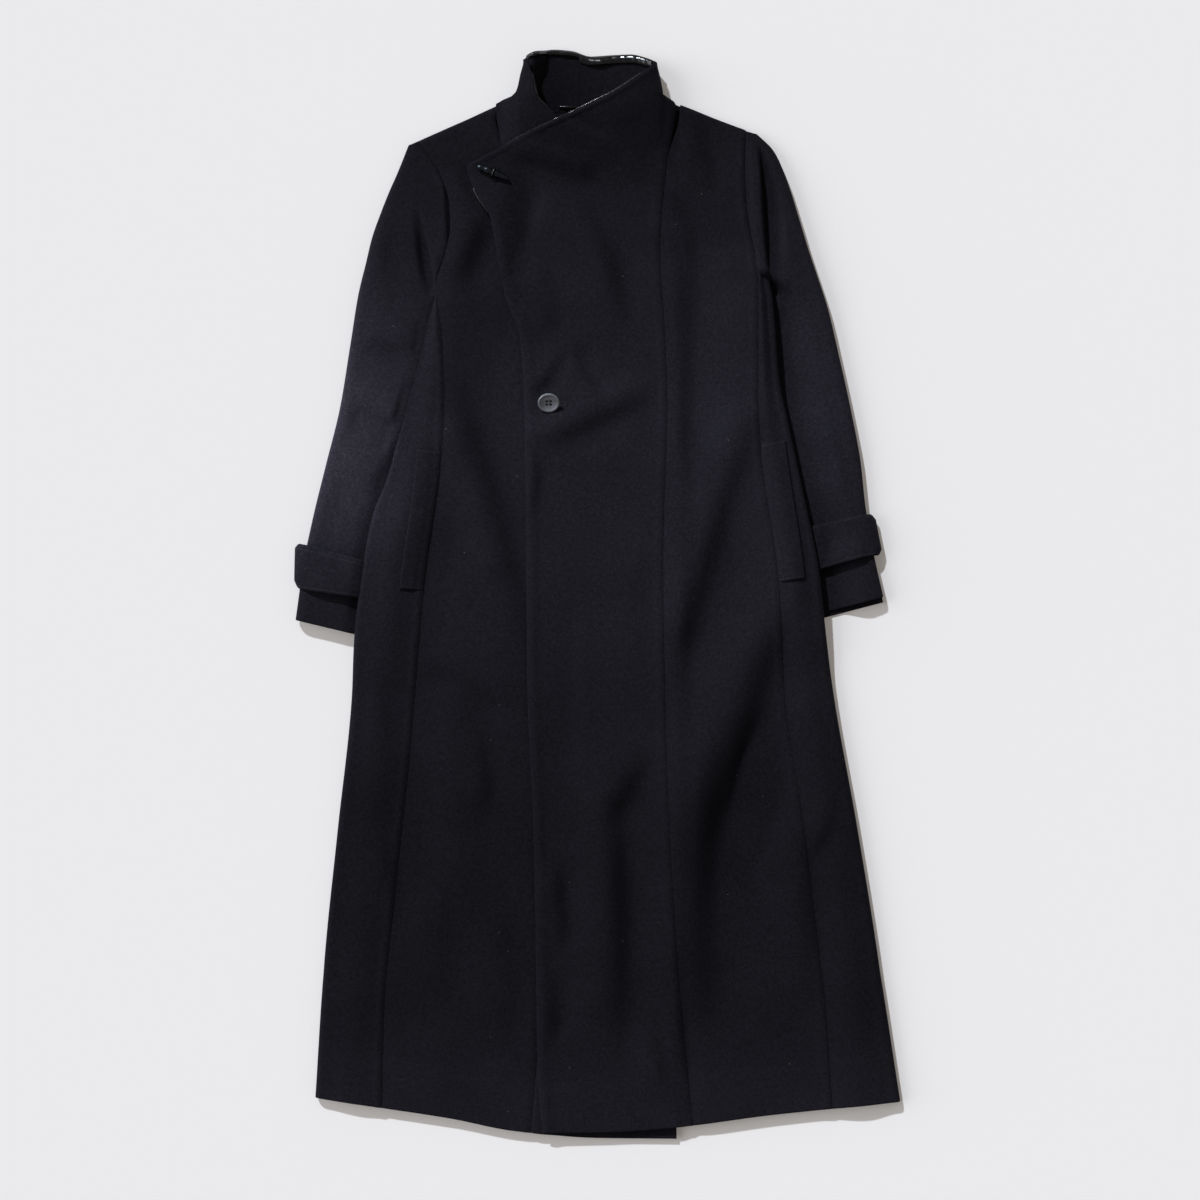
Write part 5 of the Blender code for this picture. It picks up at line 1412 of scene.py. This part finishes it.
def stitch_tree():
    tree = bpy.data.node_groups.new("stitch_row", "GeometryNodeTree")
    face = tree.interface
    face.new_socket("Line", in_out="INPUT", socket_type="NodeSocketGeometry")
    for name, value in (("Pitch", STITCH_PITCH), ("Length", STITCH_LENGTH), ("Radius", STITCH_RADIUS)):
        socket = face.new_socket(name, in_out="INPUT", socket_type="NodeSocketFloat")
        socket.default_value = value * MM
    face.new_socket("Thread", in_out="INPUT", socket_type="NodeSocketMaterial")
    face.new_socket("Stitches", in_out="OUTPUT", socket_type="NodeSocketGeometry")
    kinds = {"ins": "NodeGroupInput", "curve": "GeometryNodeMeshToCurve", "points": "GeometryNodeResampleCurve",
             "ball": "GeometryNodeMeshIcoSphere", "size": "ShaderNodeCombineXYZ", "shape": "GeometryNodeTransform",
             "tangent": "GeometryNodeInputTangent", "turn": "FunctionNodeAlignRotationToVector",
             "place": "GeometryNodeInstanceOnPoints", "real": "GeometryNodeRealizeInstances",
             "look": "GeometryNodeSetMaterial", "outs": "NodeGroupOutput"}
    node = {name: tree.nodes.new(kind) for name, kind in kinds.items()}
    node["points"].mode = "LENGTH"
    node["turn"].axis = "Z"
    node["ball"].inputs["Radius"].default_value = 1.0
    node["ball"].inputs["Subdivisions"].default_value = 1
    half = tree.nodes.new("ShaderNodeMath")
    half.operation = "MULTIPLY"
    half.inputs[1].default_value = 0.5
    wires = (("ins", "Line", "curve", 0), ("curve", 0, "points", "Curve"), ("ins", "Pitch", "points", "Length"),
             ("ins", "Radius", "size", 0), ("ins", "Radius", "size", 1), ("ball", 0, "shape", "Geometry"),
             ("size", 0, "shape", "Scale"), ("tangent", 0, "turn", "Vector"), ("points", 0, "place", "Points"),
             ("shape", 0, "place", "Instance"), ("turn", 0, "place", "Rotation"), ("place", 0, "real", 0),
             ("real", 0, "look", "Geometry"), ("ins", "Thread", "look", "Material"), ("look", 0, "outs", 0))
    for giver, out, taker, into in wires:
        tree.links.new(node[giver].outputs[out], node[taker].inputs[into])
    tree.links.new(node["ins"].outputs["Length"], half.inputs[0])
    tree.links.new(half.outputs[0], node["size"].inputs[2])
    return tree


STITCH_TREE = stitch_tree()
SOCKETS = {item.name: item.identifier for item in STITCH_TREE.interface.items_tree if item.in_out == "INPUT"}


def sew(name, lines, slot, pitch=STITCH_PITCH, length=STITCH_LENGTH, radius=STITCH_RADIUS):
    """Stitches along one or more lines of points, as one plain mesh."""
    points, edges = [], []
    for line in lines:
        first = len(points)
        points += ((np.array(line) - CENTRE) * MM).tolist()
        edges += [(first + k, first + k + 1) for k in range(len(line) - 1)]
    mesh = bpy.data.meshes.new(name + "_line")
    mesh.from_pydata(points, edges, [])
    guide = bpy.data.objects.new(name + "_line", mesh)
    bpy.context.scene.collection.objects.link(guide)
    sewing = guide.modifiers.new("stitches", "NODES")
    sewing.node_group = STITCH_TREE
    for socket, value in (("Pitch", pitch), ("Length", length), ("Radius", radius)):
        sewing[SOCKETS[socket]] = value * MM
    sewing[SOCKETS["Thread"]] = LOOKS["thread"]
    graph = bpy.context.evaluated_depsgraph_get()
    made = bpy.data.objects.new(name, bpy.data.meshes.new_from_object(guide.evaluated_get(graph)))
    bpy.data.objects.remove(guide)
    bpy.context.scene.collection.objects.link(made)
    made.data.shade_smooth()
    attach(made, "root")
    print("%s: %d triangles" % (name, sum(len(face.vertices) - 2 for face in made.data.polygons)))


def border(grid, inset, lift):
    """Two lines on a laid piece, a little inside its upper and its lower rim."""
    up = moved_up(grid, lift)
    over = np.linalg.norm(np.diff(grid[0], axis=0, prepend=grid[0, :1]), axis=1).cumsum()
    down = np.linalg.norm(np.diff(grid[:, 0], axis=0, prepend=grid[:1, 0]), axis=1).cumsum()
    first, last = np.abs(over - inset).argmin(), np.abs(over - over[-1] + inset).argmin()
    rows = np.abs(down - inset).argmin(), np.abs(down - down[-1] + inset).argmin()
    return [up[row, first:last + 1] for row in rows]


for side, grid in WELTS.items():
    sew("coat_welt_stitches_" + side, border(grid, WELT_SEWN, WELT_THICK / 2), "wool")
for side, arm, strap in ARMS:
    sew("coat_strap_stitches_" + side, border(arm.strap_grid(strap), STRAP_SEWN, STRAP_THICK / 2), "wool")


def make_buttonhole():
    """A keyhole buttonhole: close stitches round its eye and back along both sides of its slit."""
    x, y = BUTTONHOLE_EYE
    turn = np.radians(np.linspace(-BUTTONHOLE_TURN, BUTTONHOLE_TURN, EYE_POINTS))
    eye = np.column_stack((x + BUTTONHOLE_RADIUS * np.cos(turn), y + BUTTONHOLE_RADIUS * np.sin(turn)))
    back = np.linspace(0, BUTTONHOLE_SLIT, SLIT_POINTS + 1)[1:]
    low = np.column_stack((eye[0, 0] - back[::-1], np.full(SLIT_POINTS, eye[0, 1])))
    high = np.column_stack((eye[-1, 0] - back, np.full(SLIT_POINTS, eye[-1, 1])))
    flat = np.concatenate((low, eye, high))
    line = np.column_stack((flat, over_height(flat[:, 0], flat[:, 1]) + HALF))
    sew("coat_buttonhole_stitches", [line], "wool", *BUTTONHOLE_STITCH)


make_buttonhole()
